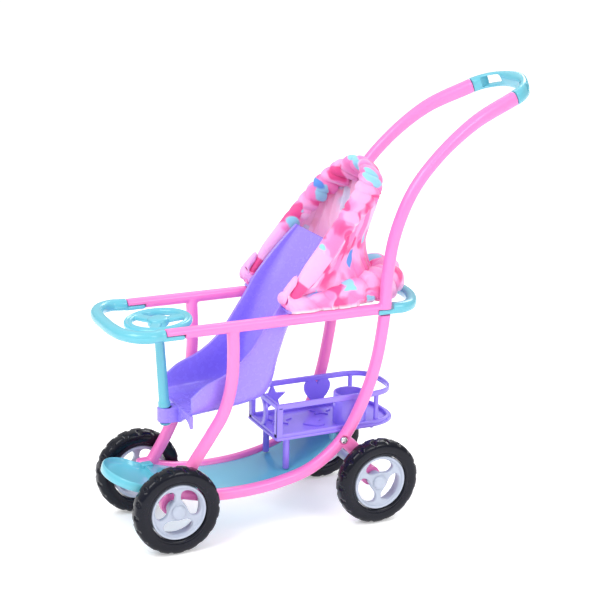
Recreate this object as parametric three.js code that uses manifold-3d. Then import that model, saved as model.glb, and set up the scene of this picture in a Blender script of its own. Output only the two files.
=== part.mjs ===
// A doll's stroller: two bowed plastic side frames on four wheels, joined by a floor panel,
// bumpers and a handle grip, with a bucket seat, a toy steering wheel, an accessory tray
// and a fabric canopy on two hoops.
// Millimetres, +Z up. x is across, with +x the doll's left; y runs rearwards from the front
// axle; z is height above the floor. The whole is shifted at the end, so that its origin is
// on the floor under its middle.
import * as THREE from 'three';
import { mergeVertices } from 'three/addons/utils/BufferGeometryUtils.js';
import Module from 'manifold-3d';

const wasm = await Module();
wasm.setup();

// ---------------------------------------------------------------- driving dimensions
const GAP = 0.3;

const WHEELBASE = 93;
const WHEEL_RADIUS = 19.15;
const TYRE_HALF_WIDTH = 4;
const TYRE_BORE = 12.6;
const TREAD_RADIUS = 18.3;
const LUG_COUNT = 18;
const LUG_LENGTH = 3;
const HUB_RADIUS = TYRE_BORE - GAP;
const RIM_HALF_WIDTH = 3;
const SPOKE_COUNT = 3;
const BOSS_RADIUS = 3.4;
const FRONT_WHEEL_X = 23.5;
const REAR_WHEEL_X = 27.7;
const AXLE_RADIUS = 2;
const AXLE_HOLE = AXLE_RADIUS + GAP + 0.05;
const CAP_START = 2.9;
const CAP_HEIGHT = 1.5;

const BAR = 5;
const LOWER_BAR_X = 16.7;
const RAIL_X = 23;
const RAIL_LOW = 94.3;
const RAIL_HIGH = 98.9;
const RAIL_FRONT = -4.7;
const RAIL_REAR = 96;
const LAP_END = 3.5;
const LAP_HEIGHT = 96.6;
const FRONT_BOSS = { from: 14.2, to: 18.6, radius: 4.6 };
const REAR_BOSS = { from: 17.2, to: 23.1, radius: 4.4 };
const FRONT_SCREW = { y: 0, z: 25.2, head: 17.9 };
const REAR_SCREW = { y: 79.8, z: 37.4, head: 21.2 };
const SCREW_HEAD_RADIUS = 1.5;
const SCREW_HOLE = 1.2;

const PANEL_HALF_WIDTH = LOWER_BAR_X - BAR / 2 - GAP;
const PANEL_THICKNESS = 1.8;
const FOOTREST_TILT = THREE.MathUtils.degToRad(-16);
const FOOTREST_BASE = 22.4;

const COLUMN_Y = 4;
const COLUMN_TILT = THREE.MathUtils.degToRad(4.2);
const STEERING_RADIUS = 14.5;
const STEERING_TUBE = 1.5;
const STEERING_Z = 95.2;
const NOSE_RADIUS = 3.4;
const NOSE_LOW = 50;
const NOSE_HIGH = 56.6;
const NOSE_MIDDLE = (NOSE_LOW + NOSE_HIGH) / 2;

const SEAT_HALF_WIDTH = 15.8;
const SEAT_THICKNESS = 1.6;

const TRAY_HALF_WIDTH = 15.6;
const TRAY_FRONT = 49.5;
const TRAY_REAR = 112;
const TRAY_RAIL_SET_BACK = 1.8;
const TRAY_FLOOR = 39.2;
const TRAY_TOP = 55.8;
const CUP = { x: 7.6, y: 88.9, inner: 6.4, outer: 7.4, top: 54.5 };

const PIVOT = { y: 51.8, z: 103.4 };
const PEG_RADIUS = 1.3;
const EYE_RADIUS = 2.9;
const HOOP_RADIUS = 1.2;
const FRONT_HOOP_X = 20.7;
const REAR_HOOP_X = 18.5;
const HOOD_ANGLE = THREE.MathUtils.degToRad(50.5);
const CASING_WIDE = 3;
const CASING_THIN = 2.6;
const CASING_BORE = 2.05;
const ROLL_RADIUS = 2.6;
const COVER_THICKNESS = 1;

// ---------------------------------------------------------------- materials
function plastic(color, roughness = 0.3) {
  return new THREE.MeshStandardMaterial({ color, roughness, metalness: 0 });
}

const PINK = plastic(0xff8ce0);
const TEAL = plastic(0x78d4e6);
const LILAC = plastic(0xa591ff);
const VIOLET = plastic(0x8f78f0);
const GREY = plastic(0xc4cae0);
const BLACK = plastic(0x17191f, 0.35);
const STEEL = new THREE.MeshStandardMaterial({ color: 0xb8bcc2, roughness: 0.3, metalness: 1 });
const FABRIC = plastic(0xf48fc6, 0.85);

// ---------------------------------------------------------------- solids
const X = new THREE.Vector3(1, 0, 0);
const Y = new THREE.Vector3(0, 1, 0);
const Z = new THREE.Vector3(0, 0, 1);

function bare(geometry) {
  const copy = geometry.clone();
  copy.deleteAttribute('normal');
  copy.deleteAttribute('uv');
  return mergeVertices(copy, 1e-4);
}

function toSolid(geometry) {
  const merged = bare(geometry);
  const corners = [];
  const index = merged.index.array;
  for (let i = 0; i < index.length; i += 3) {
    const [a, b, c] = [index[i], index[i + 1], index[i + 2]];
    if (a !== b && b !== c && c !== a) corners.push(a, b, c);
  }
  const vertProperties = new Float32Array(merged.attributes.position.array);
  const triVerts = new Uint32Array(corners);
  return new wasm.Manifold(new wasm.Mesh({ numProp: 3, vertProperties, triVerts }));
}

function toGeometry(solid) {
  const mesh = solid.getMesh();
  const geometry = new THREE.BufferGeometry();
  geometry.setAttribute('position', new THREE.BufferAttribute(mesh.vertProperties, 3));
  geometry.setIndex(new THREE.BufferAttribute(mesh.triVerts, 1));
  return geometry;
}

function join(...geometries) {
  return toGeometry(geometries.map(toSolid).reduce((all, one) => all.add(one)));
}

function cut(geometry, ...tools) {
  return toGeometry(tools.map(toSolid).reduce((all, one) => all.subtract(one), toSolid(geometry)));
}

// The same piece for the other side of the stroller.
function mirrored(geometry) {
  const copy = bare(geometry);
  copy.scale(-1, 1, 1);
  const index = copy.index.array;
  for (let i = 0; i < index.length; i += 3) {
    [index[i + 1], index[i + 2]] = [index[i + 2], index[i + 1]];
  }
  return copy;
}

function block([x0, x1], [y0, y1], [z0, z1]) {
  const geometry = new THREE.BoxGeometry(x1 - x0, y1 - y0, z1 - z0);
  geometry.translate((x0 + x1) / 2, (y0 + y1) / 2, (z0 + z1) / 2);
  return geometry;
}

// A cylinder whose axis runs across the stroller.
function crossPin(radius, from, to, y, z, sides = 16) {
  const geometry = new THREE.CylinderGeometry(radius, radius, to - from, sides);
  geometry.rotateZ(-Math.PI / 2);
  geometry.translate((from + to) / 2, y, z);
  return geometry;
}

function upright(radius, x, y, low, high, sides = 10) {
  const geometry = new THREE.CylinderGeometry(radius, radius, high - low, sides);
  geometry.rotateX(Math.PI / 2);
  geometry.translate(x, y, (low + high) / 2);
  return geometry;
}

// A profile of [radius, height] turned about the Z axis, or about X for wheels.
function turned(profile, segments) {
  const points = profile.map(([radius, height]) => new THREE.Vector2(radius, height));
  const geometry = new THREE.LatheGeometry(points, segments);
  geometry.rotateX(Math.PI / 2);
  return geometry;
}

function turnedAcross(profile, segments) {
  const geometry = turned(profile, segments);
  geometry.rotateY(Math.PI / 2);
  return geometry;
}

function flat(shape, depth, curveSegments = 5) {
  return new THREE.ExtrudeGeometry(shape, { depth, bevelEnabled: false, curveSegments });
}

// A shape drawn as (y, z), standing up and facing +x.
function facingSide(geometry) {
  return geometry.applyMatrix4(new THREE.Matrix4().makeBasis(Y, Z, X));
}

// A shape drawn as (x, z), standing up across the stroller, its depth towards the front.
function facingFront(geometry) {
  return geometry.applyMatrix4(new THREE.Matrix4().makeBasis(X, Z, Y.clone().negate()));
}

function outline(points) {
  return new THREE.Shape(points.map(([a, b]) => new THREE.Vector2(a, b)));
}

// A rectangle with its corners taken off.
function barSection(wide, high, corner) {
  const [w, h] = [wide / 2, high / 2];
  return outline([
    [-w + corner, -h], [w - corner, -h], [w, -h + corner], [w, h - corner],
    [w - corner, h], [-w + corner, h], [-w, h - corner], [-w, -h + corner],
  ]);
}

function hexagon(radius) {
  const corners = [0, 1, 2, 3, 4, 5].map((i) => [Math.cos((i * Math.PI) / 3), Math.sin((i * Math.PI) / 3)]);
  return outline(corners.map(([a, b]) => [a * radius, b * radius]));
}

function spline(points) {
  return new THREE.CatmullRomCurve3(points.map((p) => new THREE.Vector3(...p)), false, 'centripetal');
}

// A line of points from one side to its mirror image on the other, the last point being shared.
function acrossTheMiddle(points) {
  const other = points.slice(0, -1).reverse().map(([x, y, z]) => [-x, y, z]);
  return spline([...points, ...other]);
}

// A section that follows a curve. Its x stays along `side` as nearly as the curve allows, and
// swell(t) gives how much wider it is in x and y at each place.
function bar(curve, section, steps, side, swell = () => [1, 1]) {
  const geometry = new THREE.ExtrudeGeometry(section, { depth: 1, steps, bevelEnabled: false });
  const place = geometry.attributes.position;
  for (let i = 0; i < place.count; i += 1) {
    const t = THREE.MathUtils.clamp(place.getZ(i), 0, 1);
    const along = curve.getTangentAt(t);
    const rise = new THREE.Vector3().crossVectors(along, side).normalize();
    const level = new THREE.Vector3().crossVectors(rise, along);
    const [wide, high] = swell(t);
    const point = curve.getPointAt(t);
    point.addScaledVector(level, place.getX(i) * wide);
    point.addScaledVector(rise, place.getY(i) * high);
    place.setXYZ(i, point.x, point.y, point.z);
  }
  return geometry;
}

// A sheet of even thickness on the surface(u, v).
function sheet(surface, thickness, columns, rows) {
  const geometry = new THREE.BoxGeometry(1, 1, 1, columns, rows, 1);
  const place = geometry.attributes.position;
  const step = 1e-3;
  for (let i = 0; i < place.count; i += 1) {
    const u = place.getX(i) + 0.5;
    const v = place.getY(i) + 0.5;
    const alongU = surface(Math.min(u + step, 1), v).sub(surface(Math.max(u - step, 0), v));
    const alongV = surface(u, Math.min(v + step, 1)).sub(surface(u, Math.max(v - step, 0)));
    const normal = alongU.cross(alongV).normalize();
    const point = surface(u, v).addScaledVector(normal, place.getZ(i) * thickness);
    place.setXYZ(i, point.x, point.y, point.z);
  }
  return geometry;
}

// ---------------------------------------------------------------- wheels
// A wheel is made about its own centre, with its outer face towards +x.
function tyre() {
  const lugHalfAngle = LUG_LENGTH / 2 / WHEEL_RADIUS;
  const lugFace = WHEEL_RADIUS / Math.cos(lugHalfAngle);
  const points = [];
  for (let i = 0; i < LUG_COUNT; i += 1) {
    const middle = (i / LUG_COUNT) * 2 * Math.PI - Math.PI / 2;
    for (const [side, radius] of [[-1.15, TREAD_RADIUS], [-1, lugFace], [1, lugFace], [1.15, TREAD_RADIUS]]) {
      const angle = middle + side * lugHalfAngle;
      points.push([radius * Math.cos(angle), radius * Math.sin(angle)]);
    }
  }
  const ring = outline(points);
  const bore = new THREE.Path();
  bore.absarc(0, 0, TYRE_BORE, 0, 2 * Math.PI);
  ring.holes.push(bore);
  return facingSide(flat(ring, 2 * TYRE_HALF_WIDTH, 12)).translate(-TYRE_HALF_WIDTH, 0, 0);
}

// The opening between two spokes: a rounded wedge about the given angle.
function spokeGap(angle) {
  const middle = 7.3;
  const reach = 3.2;
  const swing = THREE.MathUtils.degToRad(50);
  const soften = (value) => Math.sign(value) * Math.abs(value) ** 0.75;
  const points = [];
  for (let i = 0; i < 10; i += 1) {
    const turn = (i / 10) * 2 * Math.PI;
    const radius = middle + reach * soften(Math.cos(turn));
    const at = angle + swing * soften(Math.sin(turn));
    points.push(new THREE.Vector2(radius * Math.cos(at), radius * Math.sin(at)));
  }
  return new THREE.Path(points);
}

function hub(firstGap) {
  const face = new THREE.Shape();
  face.absarc(0, 0, HUB_RADIUS - 0.8, 0, 2 * Math.PI);
  for (let i = 0; i < SPOKE_COUNT; i += 1) {
    face.holes.push(spokeGap(firstGap + (i / SPOKE_COUNT) * 2 * Math.PI));
  }
  const plate = facingSide(flat(face, 2.2, 10));
  const rim = turnedAcross([
    [HUB_RADIUS - 1.4, -RIM_HALF_WIDTH], [HUB_RADIUS, -RIM_HALF_WIDTH],
    [HUB_RADIUS, RIM_HALF_WIDTH], [HUB_RADIUS - 1.4, RIM_HALF_WIDTH],
    [HUB_RADIUS - 1.4, -RIM_HALF_WIDTH],
  ], 24);
  const boss = crossPin(BOSS_RADIUS, -3.6, CAP_START - GAP, 0, 0, 12);
  return cut(join(plate, rim, boss), crossPin(AXLE_HOLE, -5, 5, 0, 0, 12));
}

// The pressed cap that keeps a wheel on its axle.
function axleCap() {
  return turnedAcross([
    [0, CAP_START], [BOSS_RADIUS - 0.2, CAP_START], [BOSS_RADIUS - 0.5, CAP_START + 0.7],
    [1.7, CAP_START + CAP_HEIGHT - 0.2], [0, CAP_START + CAP_HEIGHT],
  ], 12);
}

function axle(wheelX, y) {
  const end = wheelX + CAP_START - GAP;
  return crossPin(AXLE_RADIUS, -end, end, y, WHEEL_RADIUS, 12);
}

// ---------------------------------------------------------------- side frame
// One long bar runs from the front axle under the floor, up behind the seat and back to the grip.
const LONG_BAR = spline([
  [LOWER_BAR_X, 1.5, 24.3], [LOWER_BAR_X, 15.8, 20.5], [LOWER_BAR_X, 32, 19.4],
  [LOWER_BAR_X, 50, 20.8], [16.9, 66, 25.3], [18.2, 79.8, 36.6], [20.4, 87.4, 52],
  [22.6, 92.6, 70], [23.5, 95.8, 92], [23.5, 96.9, 112], [23.4, 99.9, 129.4],
  [23.3, 107.5, 147.1], [22.4, 119.5, 160.8], [20.9, 137.8, 174.4], [17.9, 159.3, 183.5],
]);
const GRIP_END_SWELL = 1.3;
const GRIP_REACH = 17.8;
const GRIP_DROOP = 0.8;
const SLOT_HEIGHT = 4.6;
const SLOT_SPAN = [7.6, 16.1];
const SLOT_START = 3.6;

function sideFrame() {
  const section = barSection(BAR, BAR, 1.3);
  const widen = (t) => [1, 1 + (GRIP_END_SWELL - 1) * THREE.MathUtils.smoothstep(t, 0.8, 1)];
  const longBar = bar(LONG_BAR, section, 30, X, widen);
  const frontUpright = bar(spline([
    [LOWER_BAR_X, 3.2, 24], [LOWER_BAR_X, 10.3, 35.6], [18.6, 17.4, 48], [20.5, 22.5, 58.4],
    [22.2, 25.2, 72], [RAIL_X - 0.3, 25.6, 86], [RAIL_X - 0.2, 25.2, 96],
  ]), section, 9, X);
  const rail = bar(new THREE.LineCurve3(
    new THREE.Vector3(RAIL_X, RAIL_FRONT, (RAIL_LOW + RAIL_HIGH) / 2),
    new THREE.Vector3(RAIL_X, RAIL_REAR, (RAIL_LOW + RAIL_HIGH) / 2),
  ), barSection(BAR, RAIL_HIGH - RAIL_LOW, 1.2), 1, X);
  const bracket = bar(spline([[18.4, 79.3, 38], [19, 86.8, 30.6], [20, WHEELBASE, WHEEL_RADIUS]]),
    barSection(BAR, 6, 1.3), 4, X);
  const frontBoss = crossPin(FRONT_BOSS.radius, FRONT_BOSS.from, FRONT_BOSS.to, 0, WHEEL_RADIUS);
  const frontLug = block([FRONT_BOSS.from, FRONT_BOSS.to], [-2.8, 3.8], [WHEEL_RADIUS, 27.2]);
  const rearBoss = crossPin(REAR_BOSS.radius, REAR_BOSS.from, REAR_BOSS.to, WHEELBASE, WHEEL_RADIUS);
  const whole = join(longBar, frontUpright, rail, bracket, frontBoss, frontLug, rearBoss);
  return cut(whole,
    crossPin(AXLE_HOLE, 10, 30, 0, WHEEL_RADIUS, 12),
    crossPin(AXLE_HOLE, 10, 30, WHEELBASE, WHEEL_RADIUS, 12),
    crossPin(SCREW_HOLE, 10, 30, FRONT_SCREW.y, FRONT_SCREW.z, 10),
    crossPin(SCREW_HEAD_RADIUS + GAP, FRONT_SCREW.head - GAP, 30, FRONT_SCREW.y, FRONT_SCREW.z, 10),
    crossPin(SCREW_HOLE, 10, 30, REAR_SCREW.y, REAR_SCREW.z, 10),
    block([10, 30], [-10, LAP_END], [90, LAP_HEIGHT]),
    block([24.2, 30], [91.9, 100], [94, LAP_HEIGHT + GAP]));
}

// A slotted screw with its head towards +x, in from the frame's outer face.
function screw({ y, z, head }, length) {
  const body = turnedAcross([
    [0, -length], [0.8, -length], [0.8, 0], [SCREW_HEAD_RADIUS, 0], [SCREW_HEAD_RADIUS, 0.4],
    [0.9, 0.8], [0, 0.9],
  ], 12);
  const slotted = cut(body, block([0.5, 2], [-2, 2], [-0.22, 0.22]));
  return slotted.translate(head, y, z);
}

// ---------------------------------------------------------------- cross members
// The floor panel rises from the front ridge's footrest at one end and up between the bars
// at the other.
const PANEL_LINE = spline([
  [0, -1.5, 25.6], [0, 6, 23.6], [0, 15.8, 20.9], [0, 32, 19.7], [0, 50, 21],
  [0, 66, 25.6], [0, 74, 31], [0, 79.8, 36.6],
]);

function footrestOutline(inset) {
  const half = PANEL_HALF_WIDTH - inset;
  const lobe = 17 - inset;
  const shape = new THREE.Shape();
  shape.moveTo(half, 0.5 - inset);
  shape.lineTo(half, -4.5);
  shape.bezierCurveTo(half, -7, lobe, -7, lobe, -11);
  shape.bezierCurveTo(lobe, -18, 9, -24.2 + inset, 0, -24.2 + inset);
  shape.bezierCurveTo(-9, -24.2 + inset, -lobe, -18, -lobe, -11);
  shape.bezierCurveTo(-lobe, -7, -half, -7, -half, -4.5);
  shape.lineTo(-half, 0.5 - inset);
  shape.closePath();
  return shape;
}

function footrest() {
  const dish = flat(footrestOutline(0), 4, 4);
  const hollow = flat(footrestOutline(1.5), 4, 4).translate(0, 0, 1.6);
  const tray = cut(dish, hollow);
  tray.rotateX(FOOTREST_TILT);
  return tray.translate(0, -1, FOOTREST_BASE);
}

function floorPanel() {
  const surface = (u, v) => {
    const point = PANEL_LINE.getPointAt(v);
    point.x = (0.5 - u) * 2 * (PANEL_HALF_WIDTH);
    return point;
  };
  const panel = sheet(surface, PANEL_THICKNESS, 1, 12);
  const lugs = [];
  const holes = [];
  for (const side of [-1, 1]) {
    const inner = side > 0 ? [10, PANEL_HALF_WIDTH] : [-PANEL_HALF_WIDTH, -10];
    const outer = side > 0 ? [11, 14.8] : [-14.8, -11];
    lugs.push(block(inner, [-2.6, 2.6], [22.2, 27]), block(outer, [77.2, 82.2], [33.6, 39.2]));
    const front = side > 0 ? [10.5, 20] : [-20, -10.5];
    holes.push(crossPin(SCREW_HOLE, ...front, FRONT_SCREW.y, FRONT_SCREW.z, 10));
    holes.push(crossPin(SCREW_HOLE, ...front, REAR_SCREW.y, REAR_SCREW.z, 10));
  }
  return cut(join(panel, footrest(), ...lugs), ...holes);
}

function frontBumper() {
  const middle = LAP_HEIGHT;
  const loop = bar(acrossTheMiddle([
    [RAIL_X, RAIL_FRONT - GAP, middle], [RAIL_X + 0.1, -7, middle], [23.9, -11, middle],
    [21.6, -16.6, middle], [16, -20.5, middle], [8, -22.1, middle], [0, -22.3, middle],
  ]), barSection(5, 5.4, 1.4), 20, Z);
  const laps = [RAIL_X, -RAIL_X].map((x) => block([x - BAR / 2, x + BAR / 2],
    [RAIL_FRONT - 1.5, LAP_END - GAP], [RAIL_LOW, LAP_HEIGHT - GAP]));
  return join(loop, ...laps);
}

function rearBumper() {
  const middle = LAP_HEIGHT;
  const loop = bar(acrossTheMiddle([
    [23.6, 99.5, middle], [23.8, 101.5, middle], [23.8, 104.5, middle], [21.4, 109.3, middle],
    [16, 113.2, middle], [8.3, 116.2, middle], [0, 117.1, middle],
  ]), barSection(5, 5, 1.4), 18, Z);
  const tabs = [[24.5, 25.9], [-25.9, -24.5]].map((across) => block(across, [92.2, 101.5],
    [RAIL_LOW + 0.2, LAP_HEIGHT]));
  return join(loop, ...tabs);
}

// The grip carries the bars' ends round in one flat band, standing on edge, with a finger slot
// in each half of it, cut straight back from the hand's side. Where the band runs back along the
// cut, the slot is a blind pocket.
function handleGrip() {
  const end = LONG_BAR.getPointAt(1);
  const along = LONG_BAR.getTangentAt(1);
  const start = end.clone().addScaledVector(along, GAP);
  const pull = start.clone().addScaledVector(along, GRIP_REACH);
  pull.z -= GRIP_DROOP;
  const across = ({ x, y, z }) => new THREE.Vector3(-x, y, z);
  const path = new THREE.CubicBezierCurve3(start, pull, across(pull), across(start));
  const normal = new THREE.Vector3().crossVectors(X, new THREE.Vector3(0, along.y, along.z));
  normal.normalize();
  const { smoothstep } = THREE.MathUtils;
  const swell = (t) => {
    const inward = 1 - Math.abs(2 * t - 1);
    return [
      GRIP_END_SWELL + 0.08 * smoothstep(inward, 0, 0.4),
      1 - 0.3 * smoothstep(inward, 0, 0.3) + 0.5 * smoothstep(inward, 0.5, 1),
    ];
  };
  const band = bar(path, barSection(BAR, BAR, 1.1), 20, normal, swell);
  const forward = new THREE.Vector3().crossVectors(X, normal);
  const slots = [-1, 1].map((side) => {
    const half = SLOT_HEIGHT / 2;
    const points = [[side * SLOT_SPAN[1], -half], [side * SLOT_SPAN[1], half]];
    for (let i = 0; i <= 6; i += 1) {
      const turn = (0.5 + i / 6) * Math.PI;
      points.push([side * (SLOT_SPAN[0] + half + half * Math.cos(turn)), half * Math.sin(turn)]);
    }
    const tool = flat(outline(points), 30).translate(0, 0, -30 - SLOT_START);
    tool.applyMatrix4(new THREE.Matrix4().makeBasis(X, normal, forward));
    return tool.translate(0, start.y, start.z);
  });
  return cut(band, ...slots);
}

// ---------------------------------------------------------------- steering
// The column leans forward a little. Its parts are made upright at the nose's bore, then tilted.
function leaning(geometry) {
  geometry.translate(0, 0, -NOSE_MIDDLE);
  geometry.rotateX(COLUMN_TILT);
  return geometry.translate(0, COLUMN_Y, NOSE_MIDDLE);
}

function steeringColumn() {
  const column = turned([
    [0, 48.3], [1.5, 48.3], [2.5, 49.2], [2.5, NOSE_LOW - GAP], [1.9, NOSE_LOW - GAP],
    [1.9, NOSE_HIGH + GAP], [2.9, NOSE_HIGH + GAP], [2.9, 59], [2.2, 59.6], [2.05, 95],
    [0, 95],
  ], 12);
  return leaning(column);
}

function steeringWheel() {
  const middle = STEERING_RADIUS - STEERING_TUBE;
  const rimProfile = [];
  for (let i = 0; i <= 6; i += 1) {
    const turn = (i / 6) * 2 * Math.PI;
    rimProfile.push([middle + STEERING_TUBE * Math.cos(turn), STEERING_TUBE * Math.sin(turn)]);
  }
  const rim = turned(rimProfile, 24);
  const centre = upright(4.5, 0, 0, -1.7, 1.7, 14);
  const spokes = [];
  for (let i = 0; i < 3; i += 1) {
    const spoke = block([2, middle], [-2.1, 2.1], [-0.9, 0.9]);
    spoke.rotateZ(Math.PI / 2 + (i / 3) * 2 * Math.PI);
    spokes.push(spoke);
  }
  const socket = upright(2.05 + GAP, 0, 0, -5, 95 + GAP - STEERING_Z, 12);
  return leaning(cut(join(rim, centre, ...spokes), socket).translate(0, 0, STEERING_Z));
}

// ---------------------------------------------------------------- seat
// The bucket is a shell on U-shaped sections. Each section goes from the wall's free edge down
// to its foot and across to the middle of the seat; the three lines give those places from the
// front of the seat to the top of its back.
const WALL_EDGE = [[9.9, 64.5], [16, 69], [24.6, 72.5], [31.5, 77.1], [36.6, 81.9], [40.3, 86.9],
  [44, 92.5], [48.3, 98.8], [53, 106.5], [61.5, 116.6], [71, 127.3]];
const WALL_FOOT = [[9.9, 55.9], [18, 56.3], [27.6, 56.9], [36.7, 57.9], [43.9, 59.7], [47.2, 65.6],
  [49.5, 76], [53.4, 89.2], [58.3, 101.2], [64.8, 113.3], [72.4, 126.3]];
const SEAT_MIDDLE = [[9.9, 55.5], [18, 55.9], [27.6, 56.5], [37.2, 57.5], [45.2, 60.2], [49.6, 65.8],
  [52.3, 75.6], [56.8, 87.8], [62.2, 99.4], [68.4, 111], [76, 124.5]];

function lineOf(points) {
  return new THREE.SplineCurve(points.map(([y, z]) => new THREE.Vector2(y, z)));
}

function seatSurface() {
  const [edge, foot, middle] = [WALL_EDGE, WALL_FOOT, SEAT_MIDDLE].map(lineOf);
  const soften = (value) => Math.max(value, 0) ** 0.42;
  return (u, v) => {
    const side = u < 0.5 ? 1 : -1;
    const turn = Math.min(u, 1 - u) * Math.PI;
    const out = soften(Math.cos(turn));
    const down = soften(Math.sin(turn));
    const top = THREE.MathUtils.smoothstep(v, 0.88, 1.06);
    const half = SEAT_HALF_WIDTH * (1 - 0.16 * top);
    const base = foot.getPoint(v).lerp(middle.getPoint(v), 1 - out * out);
    const place = edge.getPoint(v).lerp(base, down);
    return new THREE.Vector3(side * half * out, place.x, place.y);
  };
}

function seat() {
  const shell = sheet(seatSurface(), SEAT_THICKNESS, 12, 14);
  const half = SEAT_HALF_WIDTH + SEAT_THICKNESS / 2;
  const apronShape = new THREE.Shape();
  apronShape.moveTo(-half, 57);
  apronShape.lineTo(-half, 51.4);
  apronShape.quadraticCurveTo(-12.5, 56, -8, 52.6);
  apronShape.lineTo(-4, NOSE_LOW);
  apronShape.lineTo(4, NOSE_LOW);
  apronShape.lineTo(8, 52.6);
  apronShape.quadraticCurveTo(12.5, 56, half, 51.4);
  apronShape.lineTo(half, 57);
  apronShape.closePath();
  const apron = facingFront(flat(apronShape, 1.6, 4)).translate(0, 10.3, 0);
  const nose = block([-NOSE_RADIUS, NOSE_RADIUS], [COLUMN_Y, 10], [NOSE_LOW, NOSE_HIGH]);
  const noseEnd = upright(NOSE_RADIUS, 0, COLUMN_Y, NOSE_LOW, NOSE_HIGH, 16);
  const pieces = [shell, apron, nose, noseEnd];
  for (const side of [-1, 1]) {
    const span = (from, to) => (side > 0 ? [from, to] : [-to, -from]);
    pieces.push(block(span(15.4, 25.4), [48.8, 55.4], [RAIL_HIGH + GAP, 100.2]));
    pieces.push(crossPin(PEG_RADIUS, ...span(15.4, 22.4), PIVOT.y, PIVOT.z, 10));
    pieces.push(crossPin(1.8, ...span(21.8, 22.6), PIVOT.y, PIVOT.z, 10));
  }
  return cut(join(...pieces), leaning(upright(1.9 + GAP + 0.1, 0, 0, 40, 70, 12)));
}

// ---------------------------------------------------------------- tray
function trayOutline(inset, setBack = 0) {
  const half = TRAY_HALF_WIDTH - inset;
  const front = TRAY_FRONT + inset;
  const rear = TRAY_REAR - inset - setBack;
  const shape = new THREE.Shape();
  shape.moveTo(-half, front);
  shape.lineTo(half, front);
  shape.lineTo(half, 94);
  shape.bezierCurveTo(half, 106, 10, rear, 0, rear);
  shape.bezierCurveTo(-10, rear, -half, 106, -half, 94);
  shape.closePath();
  return shape;
}

function trayBand(outer, inner, low, high) {
  const band = trayOutline(outer, TRAY_RAIL_SET_BACK);
  band.holes.push(trayOutline(inner, TRAY_RAIL_SET_BACK));
  return flat(band, high - low, 4).translate(0, 0, low);
}

function starShape(y, z, radius) {
  const points = [];
  for (let i = 0; i < 10; i += 1) {
    const reach = i % 2 === 0 ? radius : radius * 0.45;
    const turn = Math.PI / 2 + (i / 10) * 2 * Math.PI;
    points.push([y + reach * Math.cos(turn), z + reach * Math.sin(turn)]);
  }
  return outline(points);
}

function heartShape(y, z, size) {
  const shape = new THREE.Shape();
  shape.moveTo(y, z - size);
  shape.bezierCurveTo(y + size * 0.7, z - size * 0.4, y + size * 1.3, z + size * 0.2, y + size * 0.9,
    z + size * 0.8);
  shape.bezierCurveTo(y + size * 0.6, z + size * 1.15, y + size * 0.1, z + size, y, z + size * 0.6);
  shape.bezierCurveTo(y - size * 0.1, z + size, y - size * 0.6, z + size * 1.15, y - size * 0.9,
    z + size * 0.8);
  shape.bezierCurveTo(y - size * 1.3, z + size * 0.2, y - size * 0.7, z - size * 0.4, y, z - size);
  return shape;
}

function crescentShape(x, z, radius) {
  const shape = new THREE.Shape();
  shape.absarc(x, z, radius, -0.38 * Math.PI, 0.38 * Math.PI);
  shape.absarc(x - radius * 0.35, z, radius * 0.97, 0.31 * Math.PI, -0.31 * Math.PI, true);
  shape.closePath();
  return shape;
}

function tray() {
  const low = TRAY_FLOOR + 1.3;
  const railLow = TRAY_TOP - 2.5;
  const middle = (TRAY_FLOOR + TRAY_TOP) / 2;
  const wall = TRAY_HALF_WIDTH - 0.4;
  const pieces = [
    flat(trayOutline(0), low - TRAY_FLOOR, 4).translate(0, 0, TRAY_FLOOR),
    trayBand(0.4, 1.9, low - 0.1, low + 1.5),
    trayBand(0.4, 1.9, railLow, TRAY_TOP),
    block([wall - 1.5, wall], [50, 52.6], [low, railLow + 1]),
    block([-wall, -wall + 1.5], [50, 52.6], [low, railLow + 1]),
    block([12, 13.5], [98.6, 100.4], [low, railLow + 1]),
    block([-13.5, -12], [98.6, 100.4], [low, railLow + 1]),
    upright(CUP.outer, CUP.x, CUP.y, low - 0.1, CUP.top, 20),
    facingSide(flat(starShape(61, middle + 0.2, 6.6), 1.4)).translate(-wall, 0, 0),
    facingSide(flat(heartShape(83.5, middle + 0.2, 6.4), 1.4)).translate(-wall, 0, 0),
    facingFront(flat(crescentShape(-4.2, middle, 7.4), 1.4)).translate(0, TRAY_FRONT + 1.8, 0),
  ];
  for (const side of [-1, 1]) {
    pieces.push(upright(1.5, side * 10.6, 56.6, 24.1, TRAY_FLOOR + 0.5, 10));
    pieces.push(upright(1, side * 10, 99, 36.8, TRAY_FLOOR + 0.5, 8));
  }
  const bore = upright(CUP.inner, CUP.x, CUP.y, low, CUP.top + 5, 20);
  return cut(join(...pieces), bore);
}

// ---------------------------------------------------------------- canopy
const HOOD_ALONG = new THREE.Vector3(0, Math.cos(HOOD_ANGLE), Math.sin(HOOD_ANGLE));
const HOOD_NORMAL = new THREE.Vector3().crossVectors(X, HOOD_ALONG);

// A place on the front hoop: x across, a reach from the pivots' line, and how far it is bent
// back from the legs' plane.
function onHoop([x, reach, back = 0]) {
  const place = new THREE.Vector3(x, PIVOT.y, PIVOT.z).addScaledVector(HOOD_ALONG, reach);
  return place.addScaledVector(HOOD_NORMAL, -back).toArray();
}

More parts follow.
